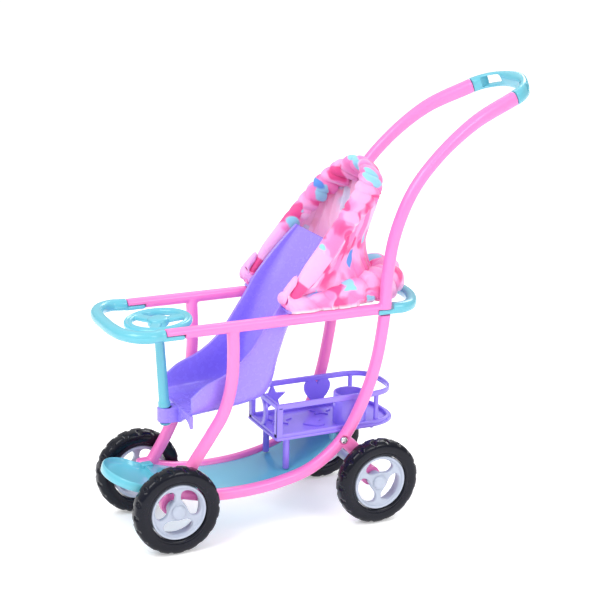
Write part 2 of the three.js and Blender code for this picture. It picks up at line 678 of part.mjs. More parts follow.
const FRONT_HOOP = acrossTheMiddle([
  [FRONT_HOOP_X, 2.2], [20.4, 18], [19.6, 34], [18.1, 46, 0.5], [15.6, 56.5, 1.4],
  [10.3, 64.2, 2.1], [0, 68, 2.4],
].map(onHoop));
const FRONT_CASING = acrossTheMiddle([
  [20.4, 18], [19.6, 34], [18.1, 46, 0.5], [15.6, 56.5, 1.4], [10.3, 64.2, 2.1], [0, 68, 2.4],
].map(onHoop));
const REAR_HOOP = acrossTheMiddle([
  [REAR_HOOP_X, PIVOT.y + 2.2, PIVOT.z], [18.4, 70, 102.9], [17.4, 90, 102.3], [15.6, 99.4, 102.6],
  [10.8, 105.8, 103], [0, 108.3, 103.3],
]);
const REAR_CASING = acrossTheMiddle([
  [18.4, 68, 103], [17.4, 90, 102.3], [15.6, 99.4, 102.6], [10.8, 105.8, 103], [0, 108.3, 103.3],
]);

// How far a point of either hoop is along towards its middle: 0 at its ends, 1 at the top.
function middling(t) {
  return 1 - Math.abs(2 * t - 1);
}

function casingHalf(t) {
  return CASING_WIDE * (1 + 0.66 * THREE.MathUtils.smoothstep(middling(t), 0, 0.5));
}

function rollRadius(t) {
  return ROLL_RADIUS * (1 + 1.75 * THREE.MathUtils.smoothstep(middling(t), 0.42, 0.95));
}

function eye(x) {
  return crossPin(EYE_RADIUS, x - 0.85, x + 0.85, PIVOT.y, PIVOT.z, 12);
}

function hoop(path, x) {
  const wire = bar(path, hexagon(HOOP_RADIUS), 20, X);
  return cut(join(wire, eye(x), eye(-x)), crossPin(PEG_RADIUS + GAP + 0.05, -30, 30, PIVOT.y, PIVOT.z, 10));
}

// A sewn sleeve round a hoop.
function sleeve(path, wide, thin, side, swell) {
  const section = barSection(wide * 2, thin * 2, Math.min(wide, thin) * 0.6);
  section.holes.push(new THREE.Path(hexagon(CASING_BORE).getPoints()));
  return bar(path, section, 19, side, swell);
}

function frontCasing() {
  return sleeve(FRONT_CASING, CASING_WIDE, CASING_THIN, HOOD_NORMAL,
    (t) => [casingHalf(t) / CASING_WIDE, 1]);
}

function rearCasing() {
  return sleeve(REAR_CASING, ROLL_RADIUS, ROLL_RADIUS, Z,
    (t) => [rollRadius(t) / ROLL_RADIUS, rollRadius(t) / ROLL_RADIUS]);
}

// The cover hangs from the front casing down to the rear roll, drawn in between them.
function canopyCover() {
  const clear = GAP + COVER_THICKNESS / 2 + 0.1;
  const surface = (u, v) => {
    const t = 0.06 + 0.88 * u;
    const high = FRONT_CASING.getPointAt(t);
    high.addScaledVector(HOOD_NORMAL, -casingHalf(t) - clear);
    const low = REAR_CASING.getPointAt(t);
    const lift = rollRadius(t) + clear;
    const middle = Math.sin(Math.PI * t) ** 2;
    low.addScaledVector(new THREE.Vector3(0, -0.75 * middle, Math.sqrt(1 - (0.75 * middle) ** 2)), lift);
    const drawn = THREE.MathUtils.smoothstep(middling(t), 0, 0.7);
    const point = high.lerp(low, v);
    point.y -= 8 * drawn * Math.sin(Math.PI * v ** 1.5);
    return point;
  };
  return sheet(surface, COVER_THICKNESS, 18, 6);
}

// ---------------------------------------------------------------- the stroller
const model = new THREE.Group();

function add(name, geometry, material, [x, y, z] = [0, 0, 0], turn = 0) {
  const mesh = new THREE.Mesh(geometry, material.clone());
  mesh.name = name;
  mesh.position.set(x, y, z);
  mesh.rotation.z = turn;
  model.add(mesh);
}

function addBothSides(name, geometry, material) {
  add(`${name}_left`, geometry, material);
  add(`${name}_right`, mirrored(geometry), material);
}

function addWheel(name, x, y, firstGap) {
  const turn = x > 0 ? 0 : Math.PI;
  add(`tyre_${name}`, tyre(), BLACK, [x, y, WHEEL_RADIUS], turn);
  add(`hub_${name}`, hub(firstGap), GREY, [x, y, WHEEL_RADIUS], turn);
  add(`axle_cap_${name}`, axleCap(), GREY, [x, y, WHEEL_RADIUS], turn);
}

addBothSides('side_frame', sideFrame(), PINK);
add('floor_panel', floorPanel(), TEAL);
add('front_bumper', frontBumper(), TEAL);
add('rear_bumper', rearBumper(), TEAL);
add('handle_grip', handleGrip(), TEAL);
addBothSides('front_screw', screw(FRONT_SCREW, 6.5), STEEL);
addBothSides('rear_screw', screw(REAR_SCREW, 8), STEEL);

add('front_axle', axle(FRONT_WHEEL_X, 0), GREY);
add('rear_axle', axle(REAR_WHEEL_X, WHEELBASE), GREY);
addWheel('front_left', FRONT_WHEEL_X, 0, -Math.PI / 2);
addWheel('front_right', -FRONT_WHEEL_X, 0, -Math.PI / 2);
addWheel('rear_left', REAR_WHEEL_X, WHEELBASE, Math.PI / 2);
addWheel('rear_right', -REAR_WHEEL_X, WHEELBASE, Math.PI / 2);

add('steering_column', steeringColumn(), TEAL);
add('steering_wheel', steeringWheel(), TEAL);
add('seat', seat(), LILAC);
add('tray', tray(), VIOLET);

add('canopy_front_hoop', hoop(FRONT_HOOP, FRONT_HOOP_X), PINK);
add('canopy_rear_hoop', hoop(REAR_HOOP, REAR_HOOP_X), PINK);
add('canopy_front_casing', frontCasing(), FABRIC);
add('canopy_rear_casing', rearCasing(), FABRIC);
add('canopy_cover', canopyCover(), FABRIC);

const extent = new THREE.Box3().setFromObject(model, true);
const middle = extent.getCenter(new THREE.Vector3());
model.position.set(-middle.x, -middle.y, -extent.min.z);

const group = new THREE.Group();
group.add(model);

export default group;
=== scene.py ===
"""The look of a doll's stroller: bowed pink side frames on four wheels, teal floor, bumpers and
grip, a lilac bucket seat, a violet accessory tray and a printed fabric canopy on two hoops.

Points are written in millimetres from the middle of the front axle, at floor level: x across,
+x on the doll's left, y rearwards and z up. metres() puts them in the row frame.
"""

import math

import bmesh
import bpy
import numpy as np
from mathutils import Matrix, Vector


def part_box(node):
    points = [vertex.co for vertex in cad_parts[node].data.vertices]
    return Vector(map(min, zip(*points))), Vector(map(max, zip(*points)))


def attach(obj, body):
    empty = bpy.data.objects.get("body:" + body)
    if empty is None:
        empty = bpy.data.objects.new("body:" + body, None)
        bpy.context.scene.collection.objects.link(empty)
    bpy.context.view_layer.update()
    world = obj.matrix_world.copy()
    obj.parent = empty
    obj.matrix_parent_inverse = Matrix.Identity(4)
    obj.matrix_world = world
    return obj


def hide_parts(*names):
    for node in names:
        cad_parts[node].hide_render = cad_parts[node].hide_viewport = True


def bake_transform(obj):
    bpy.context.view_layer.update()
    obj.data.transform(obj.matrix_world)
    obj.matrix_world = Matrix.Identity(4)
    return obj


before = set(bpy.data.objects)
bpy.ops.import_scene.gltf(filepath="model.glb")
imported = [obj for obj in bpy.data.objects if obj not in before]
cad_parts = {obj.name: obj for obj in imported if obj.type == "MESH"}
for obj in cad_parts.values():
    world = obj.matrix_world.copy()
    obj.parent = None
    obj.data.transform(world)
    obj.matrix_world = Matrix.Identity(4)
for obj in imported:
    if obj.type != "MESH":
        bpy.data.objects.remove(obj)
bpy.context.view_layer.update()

MM = 0.001
axle_low, axle_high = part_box("front_axle")
ORIGIN = np.array([0.0, (axle_low.y + axle_high.y) / 2, 0.0])
X, Z = np.eye(3)[[0, 2]]
collection = bpy.context.scene.collection


def metres(points):
    return np.asarray(points, float) * MM + ORIGIN


# ---- curves and solids
# A solid is (points, faces), its points in millimetres.


def smoothstep(low, high, value):
    t = np.clip((np.asarray(value, float) - low) / (high - low), 0, 1)
    return t * t * (3 - 2 * t)


def unit(vectors):
    return vectors / np.maximum(np.linalg.norm(vectors, axis=-1, keepdims=True), 1e-12)


def blunted(wave, power):
    """A sine or cosine drawn towards a square wave, or a sharper one with a power over 1."""
    return np.sign(wave) * np.abs(wave) ** power


def run(line):
    """How far along a line each of its points is."""
    return np.concatenate([[0], np.cumsum(np.linalg.norm(np.diff(line, axis=0), axis=1))])


def evenly(dense, count):
    along = run(dense)
    at = np.linspace(0, along[-1], count)
    return np.stack([np.interp(at, along, dense[:, k]) for k in range(dense.shape[1])], axis=1)


def spline(points, count):
    """Evenly spaced points on a centripetal Catmull-Rom curve."""
    p = np.array(points, float)
    p = np.vstack([2 * p[0] - p[1], p, 2 * p[-1] - p[-2]])
    t = np.linspace(0, 1, 40, endpoint=False)[:, None]
    pieces = []
    for a, b, c, d in zip(p, p[1:], p[2:], p[3:]):
        k0, k1, k2 = (np.linalg.norm(v) ** 0.5 for v in (b - a, c - b, d - c))
        start = ((b - a) / k0 - (c - a) / (k0 + k1) + (c - b) / k1) * k1
        end = ((c - b) / k1 - (d - b) / (k1 + k2) + (d - c) / k2) * k1
        pieces.append((2 * t**3 - 3 * t**2 + 1) * b + (t**3 - 2 * t**2 + t) * start
                      + (3 * t**2 - 2 * t**3) * c + (t**3 - t**2) * end)
    pieces.append(p[-2:-1])
    return evenly(np.vstack(pieces), count)


def across(points):
    """A line of points from one side to its mirror image on the other."""
    points = [list(p) for p in points]
    return points + [[-x, *rest] for x, *rest in points[-2::-1]]


def bezier(points, t):
    a, b, c, d = (np.array(p, float) for p in points)
    t = np.asarray(t, float)[:, None]
    return (1 - t) ** 3 * a + 3 * (1 - t) ** 2 * t * b + 3 * (1 - t) * t**2 * c + t**3 * d


def rounded(wide, high, radius, corner=6):
    """A rectangle's outline with round corners, as points of (x, y)."""
    points = []
    for i, (sx, sy) in enumerate([(1, 1), (-1, 1), (-1, -1), (1, -1)]):
        turn = np.linspace(0, math.pi / 2, corner) + i * math.pi / 2
        centre = np.array([sx * (wide / 2 - radius), sy * (high / 2 - radius)])
        points.append(centre + radius * np.stack([np.cos(turn), np.sin(turn)], axis=1))
    return np.vstack(points)


def circle(radius, sides=24):
    turn = np.linspace(0, 2 * math.pi, sides, endpoint=False)
    return radius * np.stack([np.cos(turn), np.sin(turn)], axis=1)


def skin(rings, closed=False):
    """A solid through rings of points, capped at both ends unless it closes on itself."""
    rings = np.asarray(rings, float)
    count, around = rings.shape[:2]
    faces = []
    for i in range(count if closed else count - 1):
        a, b = i * around, (i + 1) % count * around
        faces += [(a + j, a + (j + 1) % around, b + (j + 1) % around, b + j) for j in range(around)]
    if not closed:
        faces.append(tuple(range(around))[::-1])
        faces.append(tuple((count - 1) * around + j for j in range(around)))
    return rings.reshape(-1, 3), faces


def sweep(path, section, side, swell=None, closed=False):
    """A section along a path, its x staying along side as nearly as the path allows."""
    tangent = unit(np.gradient(path, axis=0))
    rise = unit(np.cross(tangent, side))
    level = np.cross(rise, tangent)
    sizes = np.ones((len(path), 2)) if swell is None else np.asarray(swell)
    rings = (path[:, None] + level[:, None] * (section[:, 0] * sizes[:, :1])[..., None]
             + rise[:, None] * (section[:, 1] * sizes[:, 1:])[..., None])
    return skin(rings, closed)


def turned(profile, axis="z", sides=64):
    """A profile of (radius, height) turned about an axis through the origin."""
    profile = np.array(profile, float)
    turn = np.linspace(0, 2 * math.pi, sides, endpoint=False)
    rings = np.stack([
        profile[:, :1] * np.cos(turn), profile[:, :1] * np.sin(turn),
        np.repeat(profile[:, 1:], sides, axis=1)], axis=-1)
    closed = np.allclose(profile[0], profile[-1])
    points, faces = skin(rings[:-1] if closed else rings, closed)
    return (points[:, [2, 0, 1]] if axis == "x" else points), faces


def block(xs, ys, zs, radius=0.5):
    section = rounded(xs[1] - xs[0], ys[1] - ys[0], radius, 4)
    middle = np.array([sum(xs) / 2, sum(ys) / 2])
    chamfer = radius * 0.6
    rings = []
    for z, inset in ((zs[0], chamfer), (zs[0] + chamfer, 0), (zs[1] - chamfer, 0), (zs[1], chamfer)):
        shrink = 1 - 2 * inset / np.array([xs[1] - xs[0], ys[1] - ys[0]])
        rings.append(np.column_stack([section * shrink + middle, np.full(len(section), z)]))
    return skin(rings)


def moved(solid, x=0.0, y=0.0, z=0.0):
    return solid[0] + np.array([x, y, z]), solid[1]


def transformed(solid, matrix):
    matrix = np.array(matrix, float)
    return solid[0] @ matrix[:3, :3].T + matrix[:3, 3], solid[1]


def mirrored(solid):
    return solid[0] * [-1, 1, 1], [tuple(f[::-1]) for f in solid[1]]


def pin(radius, start, end, y, z, sides=32, chamfer=0.3):
    """A round bar across the stroller."""
    profile = [(radius - chamfer, start), (radius, start + chamfer), (radius, end - chamfer),
               (radius - chamfer, end)]
    return moved(turned(profile, "x", sides), 0, y, z)


def combined(solids):
    points, faces, start = [], [], 0
    for p, f in solids:
        points.append(np.asarray(p, float))
        faces += [tuple(i + start for i in face) for face in f]
        start += len(p)
    return np.vstack(points), faces


# ---- objects
def placed(name, data):
    obj = bpy.data.objects.new(name, data)
    collection.objects.link(obj)
    return obj


def make(name, solids, material, origin=True):
    points, faces = combined(solids if isinstance(solids, list) else [solids])
    mesh = bpy.data.meshes.new(name)
    mesh.from_pydata((metres(points) if origin else points * MM).tolist(), [], faces)
    mesh.update()
    bm = bmesh.new()
    bm.from_mesh(mesh)
    bmesh.ops.recalc_face_normals(bm, faces=bm.faces)
    bm.to_mesh(mesh)
    bm.free()
    obj = placed(name, mesh)
    if material:
        mesh.materials.append(material)
    shade(obj)
    return obj


def shade(obj, angle=38):
    mesh = obj.data
    mesh.polygons.foreach_set("use_smooth", [True] * len(mesh.polygons))
    mesh.set_sharp_from_angle(angle=math.radians(angle))
    mesh.update()


def apply_modifiers(obj):
    bpy.context.view_layer.update()
    evaluated = obj.evaluated_get(bpy.context.evaluated_depsgraph_get())
    mesh = bpy.data.meshes.new_from_object(evaluated)
    mesh.name = obj.name
    old = obj.data
    materials = list(old.materials)
    obj.modifiers.clear()
    obj.data = mesh
    bpy.data.meshes.remove(old)
    if not mesh.materials:
        for m in materials:
            mesh.materials.append(m)


def fuse(obj, voxel, smooth=3):
    """Melts the overlapping solids of obj into one moulding with soft inner corners."""
    remesh = obj.modifiers.new("melt", "REMESH")
    remesh.mode = "VOXEL"
    remesh.voxel_size = voxel * MM
    if smooth:
        soften = obj.modifiers.new("soften", "SMOOTH")
        soften.factor = 0.5
        soften.iterations = smooth
    apply_modifiers(obj)
    shade(obj)


def carve(obj, *solids):
    cutter = make("cutter", list(solids), None)
    modifier = obj.modifiers.new("carve", "BOOLEAN")
    modifier.operation = "DIFFERENCE"
    modifier.object = cutter
    modifier.solver = "EXACT"
    apply_modifiers(obj)
    bpy.data.objects.remove(cutter)
    shade(obj)


def plate(outlines, low, high, bevel=0.35, matrix=None):
    """A flat plate with rounded edges; the first outline is its edge and the others are holes."""
    curve = bpy.data.curves.new("outline", "CURVE")
    curve.dimensions = "2D"
    curve.fill_mode = "BOTH"
    for points in outlines:
        line = curve.splines.new("POLY")
        line.points.add(len(points) - 1)
        line.use_cyclic_u = True
        for target, (a, b) in zip(line.points, points):
            target.co = (a, b, 0, 1)
    curve.extrude = (high - low) / 2 - bevel
    curve.bevel_depth = bevel
    curve.bevel_resolution = 2
    curve.offset = -bevel
    temporary = bpy.data.objects.new("outline", curve)
    mesh = bpy.data.meshes.new_from_object(temporary)
    bpy.data.objects.remove(temporary)
    points = np.array([v.co for v in mesh.vertices]) + [0, 0, (low + high) / 2]
    faces = [tuple(p.vertices) for p in mesh.polygons]
    bpy.data.meshes.remove(mesh)
    return transformed((points, faces), np.eye(4) if matrix is None else matrix)


def slab(outline, low, high, bevel, matrix=None):
    """A flat solid shape without holes, its edges bevelled."""
    ahead, behind = np.roll(outline, -1, axis=0), np.roll(outline, 1, axis=0)
    turn = unit(ahead - behind) @ np.array([[0, -1], [1, 0]])
    area = np.sum(outline[:, 0] * ahead[:, 1] - ahead[:, 0] * outline[:, 1])
    inner = outline - turn * bevel * np.sign(area)
    levels = ((inner, low), (outline, low + bevel), (outline, high - bevel), (inner, high))
    solid = skin([np.column_stack([ring, np.full(len(ring), z)]) for ring, z in levels])
    return transformed(solid, np.eye(4) if matrix is None else matrix)


def finish_piece(obj, body, slot, *nodes):
    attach(obj, body)
    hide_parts(*nodes)


def mirror_object(obj, name):
    points = np.array([v.co for v in obj.data.vertices]) * [-1, 1, 1]
    mesh = obj.data.copy()
    mesh.name = name
    mesh.vertices.foreach_set("co", points.ravel())
    mesh.flip_normals()
    mesh.update()
    return placed(name, mesh)


# An outline drawn in (y, z) that faces +x, and one drawn in (x, z) that faces -y.
SIDE = Matrix([[0, 0, 1, 0], [1, 0, 0, 0], [0, 1, 0, 0], [0, 0, 0, 1]])
FRONT = Matrix([[1, 0, 0, 0], [0, 0, -1, 0], [0, 1, 0, 0], [0, 0, 0, 1]])


# ---- materials
def new_material(name):
    material = bpy.data.materials.new(name)
    material.use_nodes = True
    tree = material.node_tree
    tree.nodes.clear()
    output = tree.nodes.new("ShaderNodeOutputMaterial")
    shader = tree.nodes.new("ShaderNodeBsdfPrincipled")
    tree.links.new(shader.outputs[0], output.inputs[0])
    return material, tree, shader


def fill(tree, target, inputs):
    """Links a node's inputs to the sockets given, and sets the others to the values given."""
    for key, value in inputs.items():
        if isinstance(value, bpy.types.NodeSocket):
            tree.links.new(value, target.inputs[key])
        else:
            target.inputs[key].default_value = value


def node(tree, kind, inputs, **settings):
    new = tree.nodes.new(kind)
    for key, value in settings.items():
        setattr(new, key, value)
    fill(tree, new, inputs)
    return new


def coordinates(tree, output):
    return node(tree, "ShaderNodeTexCoord", {}).outputs[output]


def noise(tree, where, scale, detail, **more):
    inputs = {"Vector": where, "Scale": scale, "Detail": detail, **more}
    return node(tree, "ShaderNodeTexNoise", inputs).outputs[0]


def ranged(tree, value, start=0.0, end=1.0, low=0.0, high=1.0):
    """A value's range from start to end, carried over to the range from low to high."""
    inputs = {"Value": value, "From Min": start, "From Max": end, "To Min": low, "To Max": high}
    return node(tree, "ShaderNodeMapRange", inputs).outputs[0]


def tone(color, factor):
    return tuple(min(1.0, c * factor) for c in color) + (1.0,)


def mix_color(tree, factor, a, b, blend="MIX"):
    inputs = {0: factor, 6: a, 7: b}
    return node(tree, "ShaderNodeMix", inputs, data_type="RGBA", blend_type=blend).outputs[2]


def moulded(name, color, rough, spread, grain=0.01, coat=0.25, specular=0.5):
    """Injection-moulded plastic: slight clouding of colour and gloss, and a fine orange peel."""
    material, tree, shader = new_material(name)
    where = coordinates(tree, "Object")
    cloud = ranged(tree, noise(tree, where, 70.0, 3.0), 0.3, 0.7)
    gloss = ranged(tree, noise(tree, where, 420.0, 4.0), 0.3, 0.7, rough - 0.015, rough + 0.015)
    peel = noise(tree, where, 2600.0, 2.0)
    bump = node(tree, "ShaderNodeBump", {"Height": peel, "Strength": grain, "Distance": 0.00005})
    fill(tree, shader, {
        "Base Color": mix_color(tree, cloud, tone(color, 1 - spread), tone(color, 1 + spread)),
        "Roughness": gloss, "Normal": bump.outputs[0], "Coat Weight": coat,
        "Coat Roughness": 0.12, "Specular IOR Level": specular})
    return material


def steel(name):
    material, tree, shader = new_material(name)
    where = coordinates(tree, "Object")
    scratch = noise(tree, where, 3000.0, 3.0, Distortion=0.6)
    gloss = ranged(tree, scratch, low=0.16, high=0.38)
    color = mix_color(tree, scratch, (0.62, 0.63, 0.66, 1), (0.8, 0.81, 0.83, 1))
    fill(tree, shader, {"Base Color": color, "Roughness": gloss, "Metallic": 1.0})
    return material


# The print is drawn on the cloth's own flat coordinates, which the mesh keeps as a UV map in
# centimetres, so that it bends and gathers with the cloth.
PRINT = {
    "light": (1.0, 0.42, 0.76, 1), "pink": (0.96, 0.24, 0.58, 1), "hot": (0.86, 0.075, 0.31, 1),
    "blue": (0.1, 0.3, 0.8, 1), "sky": (0.3, 0.68, 0.87, 1), "pale": (1.0, 0.6, 0.86, 1),
    "plain": (1.0, 0.47, 0.83, 1), "white": (0.92, 0.86, 0.94, 1),
}

def patches():
    """Larger patches of the print, scattered in rows on the cloth: their place and half their size
    in centimetres, and their tint."""
    random = np.random.default_rng(11)
    tints = ("blue", "sky", "hot")
    scattered = []
    for row, (v, pitch) in enumerate([(0.9, 1.7), (2.5, 2.4), (4.0, 2.4), (13.6, 2.2)]):
        for k, u in enumerate(np.arange(1.2 + 0.5 * row, 16, pitch)):
            place = (u, v) + random.uniform(-0.4, 0.4, 2)
            scattered.append((*place, *random.uniform(0.2, 0.5, 2), tints[(k + row) % 3]))
    return scattered


def vector(tree, operation, inputs):
    return node(tree, "ShaderNodeVectorMath", inputs, operation=operation).outputs[0]


def printed(name, wash):
    material, tree, shader = new_material(name)
    flat = node(tree, "ShaderNodeUVMap", {}, uv_map="cloth").outputs[0]
    drift = node(tree, "ShaderNodeTexNoise", {"Vector": flat, "Scale": 1.1, "Detail": 1.5}).outputs[1]
    bent = vector(tree, "MULTIPLY_ADD", {0: drift, 1: (0.9, 0.9, 0.0), 2: flat})
    bent = vector(tree, "SUBTRACT", {0: bent, 1: (0.45, 0.45, 0.0)})

    def clouds(scale, seed, low, high):
        place = node(tree, "ShaderNodeMapping", {"Vector": bent, "Location": (seed, seed * 1.7, 0)})
        blobs = noise(tree, place.outputs[0], scale, 1.0, Roughness=0.4, Distortion=0.6)
        return ranged(tree, blobs, low, high)

    color = mix_color(tree, clouds(0.8, 3.1, 0.44, 0.56), PRINT["light"], PRINT["pink"])
    color = mix_color(tree, clouds(0.95, 8.3, 0.55, 0.63), color, PRINT["hot"])
    color = mix_color(tree, clouds(0.9, 14.9, 0.64, 0.67), color, PRINT["sky"])
    color = mix_color(tree, clouds(1.0, 33.2, 0.65, 0.7), color, PRINT["pale"])
    for u, v, wide, high, tint in patches():
        place = node(tree, "ShaderNodeMapping", {
            "Vector": bent, "Scale": (1 / wide, 1 / high, 1), "Location": (-u / wide, -v / high, 0)})
        away = node(tree, "ShaderNodeVectorMath", {0: place.outputs[0]}, operation="LENGTH").outputs["Value"]
        inside = ranged(tree, away, 1.05, 0.8)
        color = mix_color(tree, inside, color, PRINT[tint])
    for key in ("plain", "hot", "white"):
        mask = node(tree, "ShaderNodeAttribute", {}, attribute_name=key).outputs["Fac"]
        color = mix_color(tree, mask, color, PRINT[key])
    color = mix_color(tree, wash, color, (0.98, 0.72, 0.86, 1))
    # Painted shade: the colour is multiplied towards deep pink in the creases of the folds, where shade
    # falls.
    painted_crease_shade = node(tree, "ShaderNodeAttribute", {}, attribute_name="crease_shade").outputs["Fac"]
    color = mix_color(tree, painted_crease_shade, color, (0.82, 0.38, 0.6, 1), "MULTIPLY")

    threads = []
    for axis in ("X", "Y"):
        threads.append(node(tree, "ShaderNodeTexWave", {
            "Vector": flat, "Scale": 9.0, "Distortion": 0.3}, bands_direction=axis).outputs["Fac"])
    weave = node(tree, "ShaderNodeMath", {0: threads[0], 1: threads[1]}, operation="ADD").outputs[0]
    slub = noise(tree, flat, 6.0, 4.0)
    shade_value = ranged(tree, weave, 0.0, 2.0, 0.9, 1.05)
    grey = node(tree, "ShaderNodeCombineColor", {0: shade_value, 1: shade_value, 2: shade_value}).outputs[0]
    color = mix_color(tree, 1.0, color, grey, "MULTIPLY")
    fine = node(tree, "ShaderNodeBump", {"Height": weave, "Strength": 0.25, "Distance": 0.0001})
    soft = node(tree, "ShaderNodeBump", {
        "Height": slub, "Strength": 0.35, "Distance": 0.0006, "Normal": fine.outputs[0]})
    fill(tree, shader, {
        "Base Color": color, "Normal": soft.outputs[0],
        "Roughness": ranged(tree, slub, low=0.5, high=0.75),
        "Sheen Weight": 0.35, "Sheen Roughness": 0.4, "Subsurface Weight": 0.12,
        "Subsurface Radius": (0.003, 0.002, 0.002), "Subsurface Scale": 0.5})
    return material


PINK = moulded("pink_plastic", (1.0, 0.22, 0.58), 0.3, 0.015)
TEAL = moulded("teal_plastic", (0.135, 0.51, 0.63), 0.24, 0.015)
LILAC = moulded("lilac_plastic", (0.33, 0.24, 0.94), 0.27, 0.015)
VIOLET = moulded("violet_plastic", (0.3, 0.22, 0.9), 0.24, 0.015)
GREY = moulded("grey_plastic", (0.46, 0.51, 0.62), 0.34, 0.015)
BLACK = moulded("black_plastic", (0.004, 0.005, 0.012), 0.2, 0.2, 0.03, 0.0, 0.26)
STEEL = steel("steel")
CLOTH = printed("print_fabric", 0.0)
LINING = printed("print_fabric_reverse", 0.55)

# ---- side frames
BAR = 5.0
LOWER_X, RAIL_X = 16.7, 23.0
RAIL_LOW, RAIL_HIGH, LAP = 94.3, 98.9, 96.6
WHEEL_RADIUS, WHEELBASE = 19.15, 93.0
LONG_BAR = spline([
    [LOWER_X, 1.5, 24.3], [LOWER_X, 15.8, 20.5], [LOWER_X, 32, 19.4], [LOWER_X, 50, 20.8],
    [16.9, 66, 25.3], [18.2, 79.8, 36.6], [20.4, 87.4, 52], [22.6, 92.6, 70], [23.5, 95.8, 92],
    [23.5, 96.9, 112], [23.4, 99.9, 129.4], [23.3, 107.5, 147.1], [22.4, 119.5, 160.8],
    [20.9, 137.8, 174.4], [17.9, 159.3, 183.5]], 160)
GRIP_SWELL = 1.3
SLOT_END = 16.1
REAR_SCREW = (79.8, 37.4)
bar_section = rounded(BAR, BAR, 2.0)


def side_frame():
    along = np.linspace(0, 1, len(LONG_BAR))
    swell = np.column_stack([np.ones(len(along)), 1 + (GRIP_SWELL - 1) * smoothstep(0.8, 1, along)])
    upright = spline([
        [LOWER_X, 3.2, 24], [LOWER_X, 10.3, 35.6], [18.6, 17.4, 48], [20.5, 22.5, 58.4],
        [22.2, 25.2, 72], [RAIL_X - 0.3, 25.6, 86], [RAIL_X - 0.2, 25.2, 96]], 60)
    rail_z = (RAIL_LOW + RAIL_HIGH) / 2
    rail = np.linspace([RAIL_X, -4.7, rail_z], [RAIL_X, 96, rail_z], 30)
    bracket = spline([[18.4, 79.3, 38], [19, 86.8, 30.6], [20, WHEELBASE, WHEEL_RADIUS]], 16)
    frame_piece = make("side_frame_left_look", [
        sweep(LONG_BAR, bar_section, X, swell),
        sweep(upright, bar_section, X),
        sweep(rail, rounded(BAR, RAIL_HIGH - RAIL_LOW, 1.9), X),
        sweep(bracket, rounded(BAR, 6, 2.0), X),
        pin(4.6, 14.2, 18.6, 0, WHEEL_RADIUS, chamfer=0.5),
        block((14.2, 18.6), (-2.8, 3.8), (WHEEL_RADIUS, 27.2), 1.0),
        pin(4.4, 17.2, 23.1, WHEELBASE, WHEEL_RADIUS, chamfer=0.5),
    ], PINK)
    fuse(frame_piece, 0.4, 4)
    carve(frame_piece, block((10, 30), (-10, 3.5), (90, LAP), 0.02),
          block((24.2, 30), (91.9, 100), (94, LAP + 0.3), 0.02),
          pin(2.1, 19.9, 30, *REAR_SCREW))
    return frame_piece


left_frame = side_frame()
right_frame = mirror_object(left_frame, "side_frame_right_look")
finish_piece(left_frame, "frame", "pink_plastic", "side_frame_left")
finish_piece(right_frame, "frame", "pink_plastic", "side_frame_right")


# ---- screws, axles and caps
def screw(name, y, z, head, length):
    solid = turned([(0.01, -length), (0.8, -length), (0.8, -0.5), (1.55, -0.5), (1.55, 0.3), (1.35, 0.6),
                    (0.8, 0.8), (0.01, 0.85)], "x", 40)
    piece = make(name, moved(solid, head, y, z), STEEL)
    carve(piece, block((head + 0.45, head + 3), (y - 0.28, y + 0.28), (z - 2, z + 2), 0.02))
    return piece


for part, (y, z, head, length) in {"front": (0, 25.2, 17.9, 6.5), "rear": (*REAR_SCREW, 20.8, 8)}.items():
    left = screw(f"{part}_screw_left_look", y, z, head, length)
    right = mirror_object(left, f"{part}_screw_right_look")
    finish_piece(left, "frame", "steel", f"{part}_screw_left")
    finish_piece(right, "frame", "steel", f"{part}_screw_right")

for part, wheel_x, y in (("front", 23.5, 0), ("rear", 27.7, WHEELBASE)):
    rod = make(f"{part}_axle_look", pin(2.0, -wheel_x - 2.6, wheel_x + 2.6, y, WHEEL_RADIUS, 40), GREY)
    finish_piece(rod, "frame", "grey_plastic", f"{part}_axle")

# ---- floor panel and footrest
PANEL_HALF = LOWER_X - BAR / 2 - 0.3


def footrest_outline(inset):
    half, lobe = PANEL_HALF - inset, 17 - inset
    tip = -24.2 + inset
    pieces = [
        bezier([(half, -4.5), (half, -7), (lobe, -7), (lobe, -11)], np.linspace(0, 1, 16, endpoint=False)),
        bezier([(lobe, -11), (lobe, -18), (9, tip), (0, tip)], np.linspace(0, 1, 24, endpoint=False)),
    ]
    right = np.vstack([[(half, 0.5 - inset), (half, -2.0)], *pieces])
    left = right[::-1] * [-1, 1]
    return np.vstack([right, [(0, tip)], left])


def footrest():
    rings = []
    for inset, z in ((1.6, 0), (0.6, 0.15), (0.12, 0.6), (0, 1.3), (0, 3.1), (0.15, 3.6), (0.45, 3.92),
                     (0.75, 4), (1.1, 3.85), (1.4, 3.4), (1.8, 2.5), (2.4, 1.95), (3.4, 1.7), (5, 1.6)):
        outline = footrest_outline(inset)
        rings.append(np.column_stack([outline, np.full(len(outline), z)]))
    turn = Matrix.Translation((0, -1, 22.4)) @ Matrix.Rotation(math.radians(-16), 4, "X")
    return transformed(skin(rings), turn)


def floor_panel():
    line = spline([
        [0, -1.5, 25.6], [0, 6, 23.6], [0, 15.8, 20.9], [0, 32, 19.7], [0, 50, 21], [0, 66, 25.6],
        [0, 74, 31], [0, 79.8, 36.6]], 90)
    section = rounded(2 * PANEL_HALF, 1.8, 0.75, 5)
    solids = [sweep(line, section, X), footrest()]
    for side in (1, -1):
        lug = block((10, PANEL_HALF), (-2.6, 2.6), (22.2, 27), 0.8)
        ear = block((11, 14.8), (77.2, 82.2), (33.6, 39.2), 0.8)
        solids += [lug, ear] if side > 0 else [mirrored(lug), mirrored(ear)]
    return make("floor_panel_look", solids, TEAL)


finish_piece(floor_panel(), "frame", "teal_plastic", "floor_panel")


# ---- bumpers and grip
def bumper(name, line, section, tongue):
    piece = make(name, [sweep(spline(across(line), 90), section, Z), tongue, mirrored(tongue)], TEAL)
    fuse(piece, 0.32, 3)
    return piece


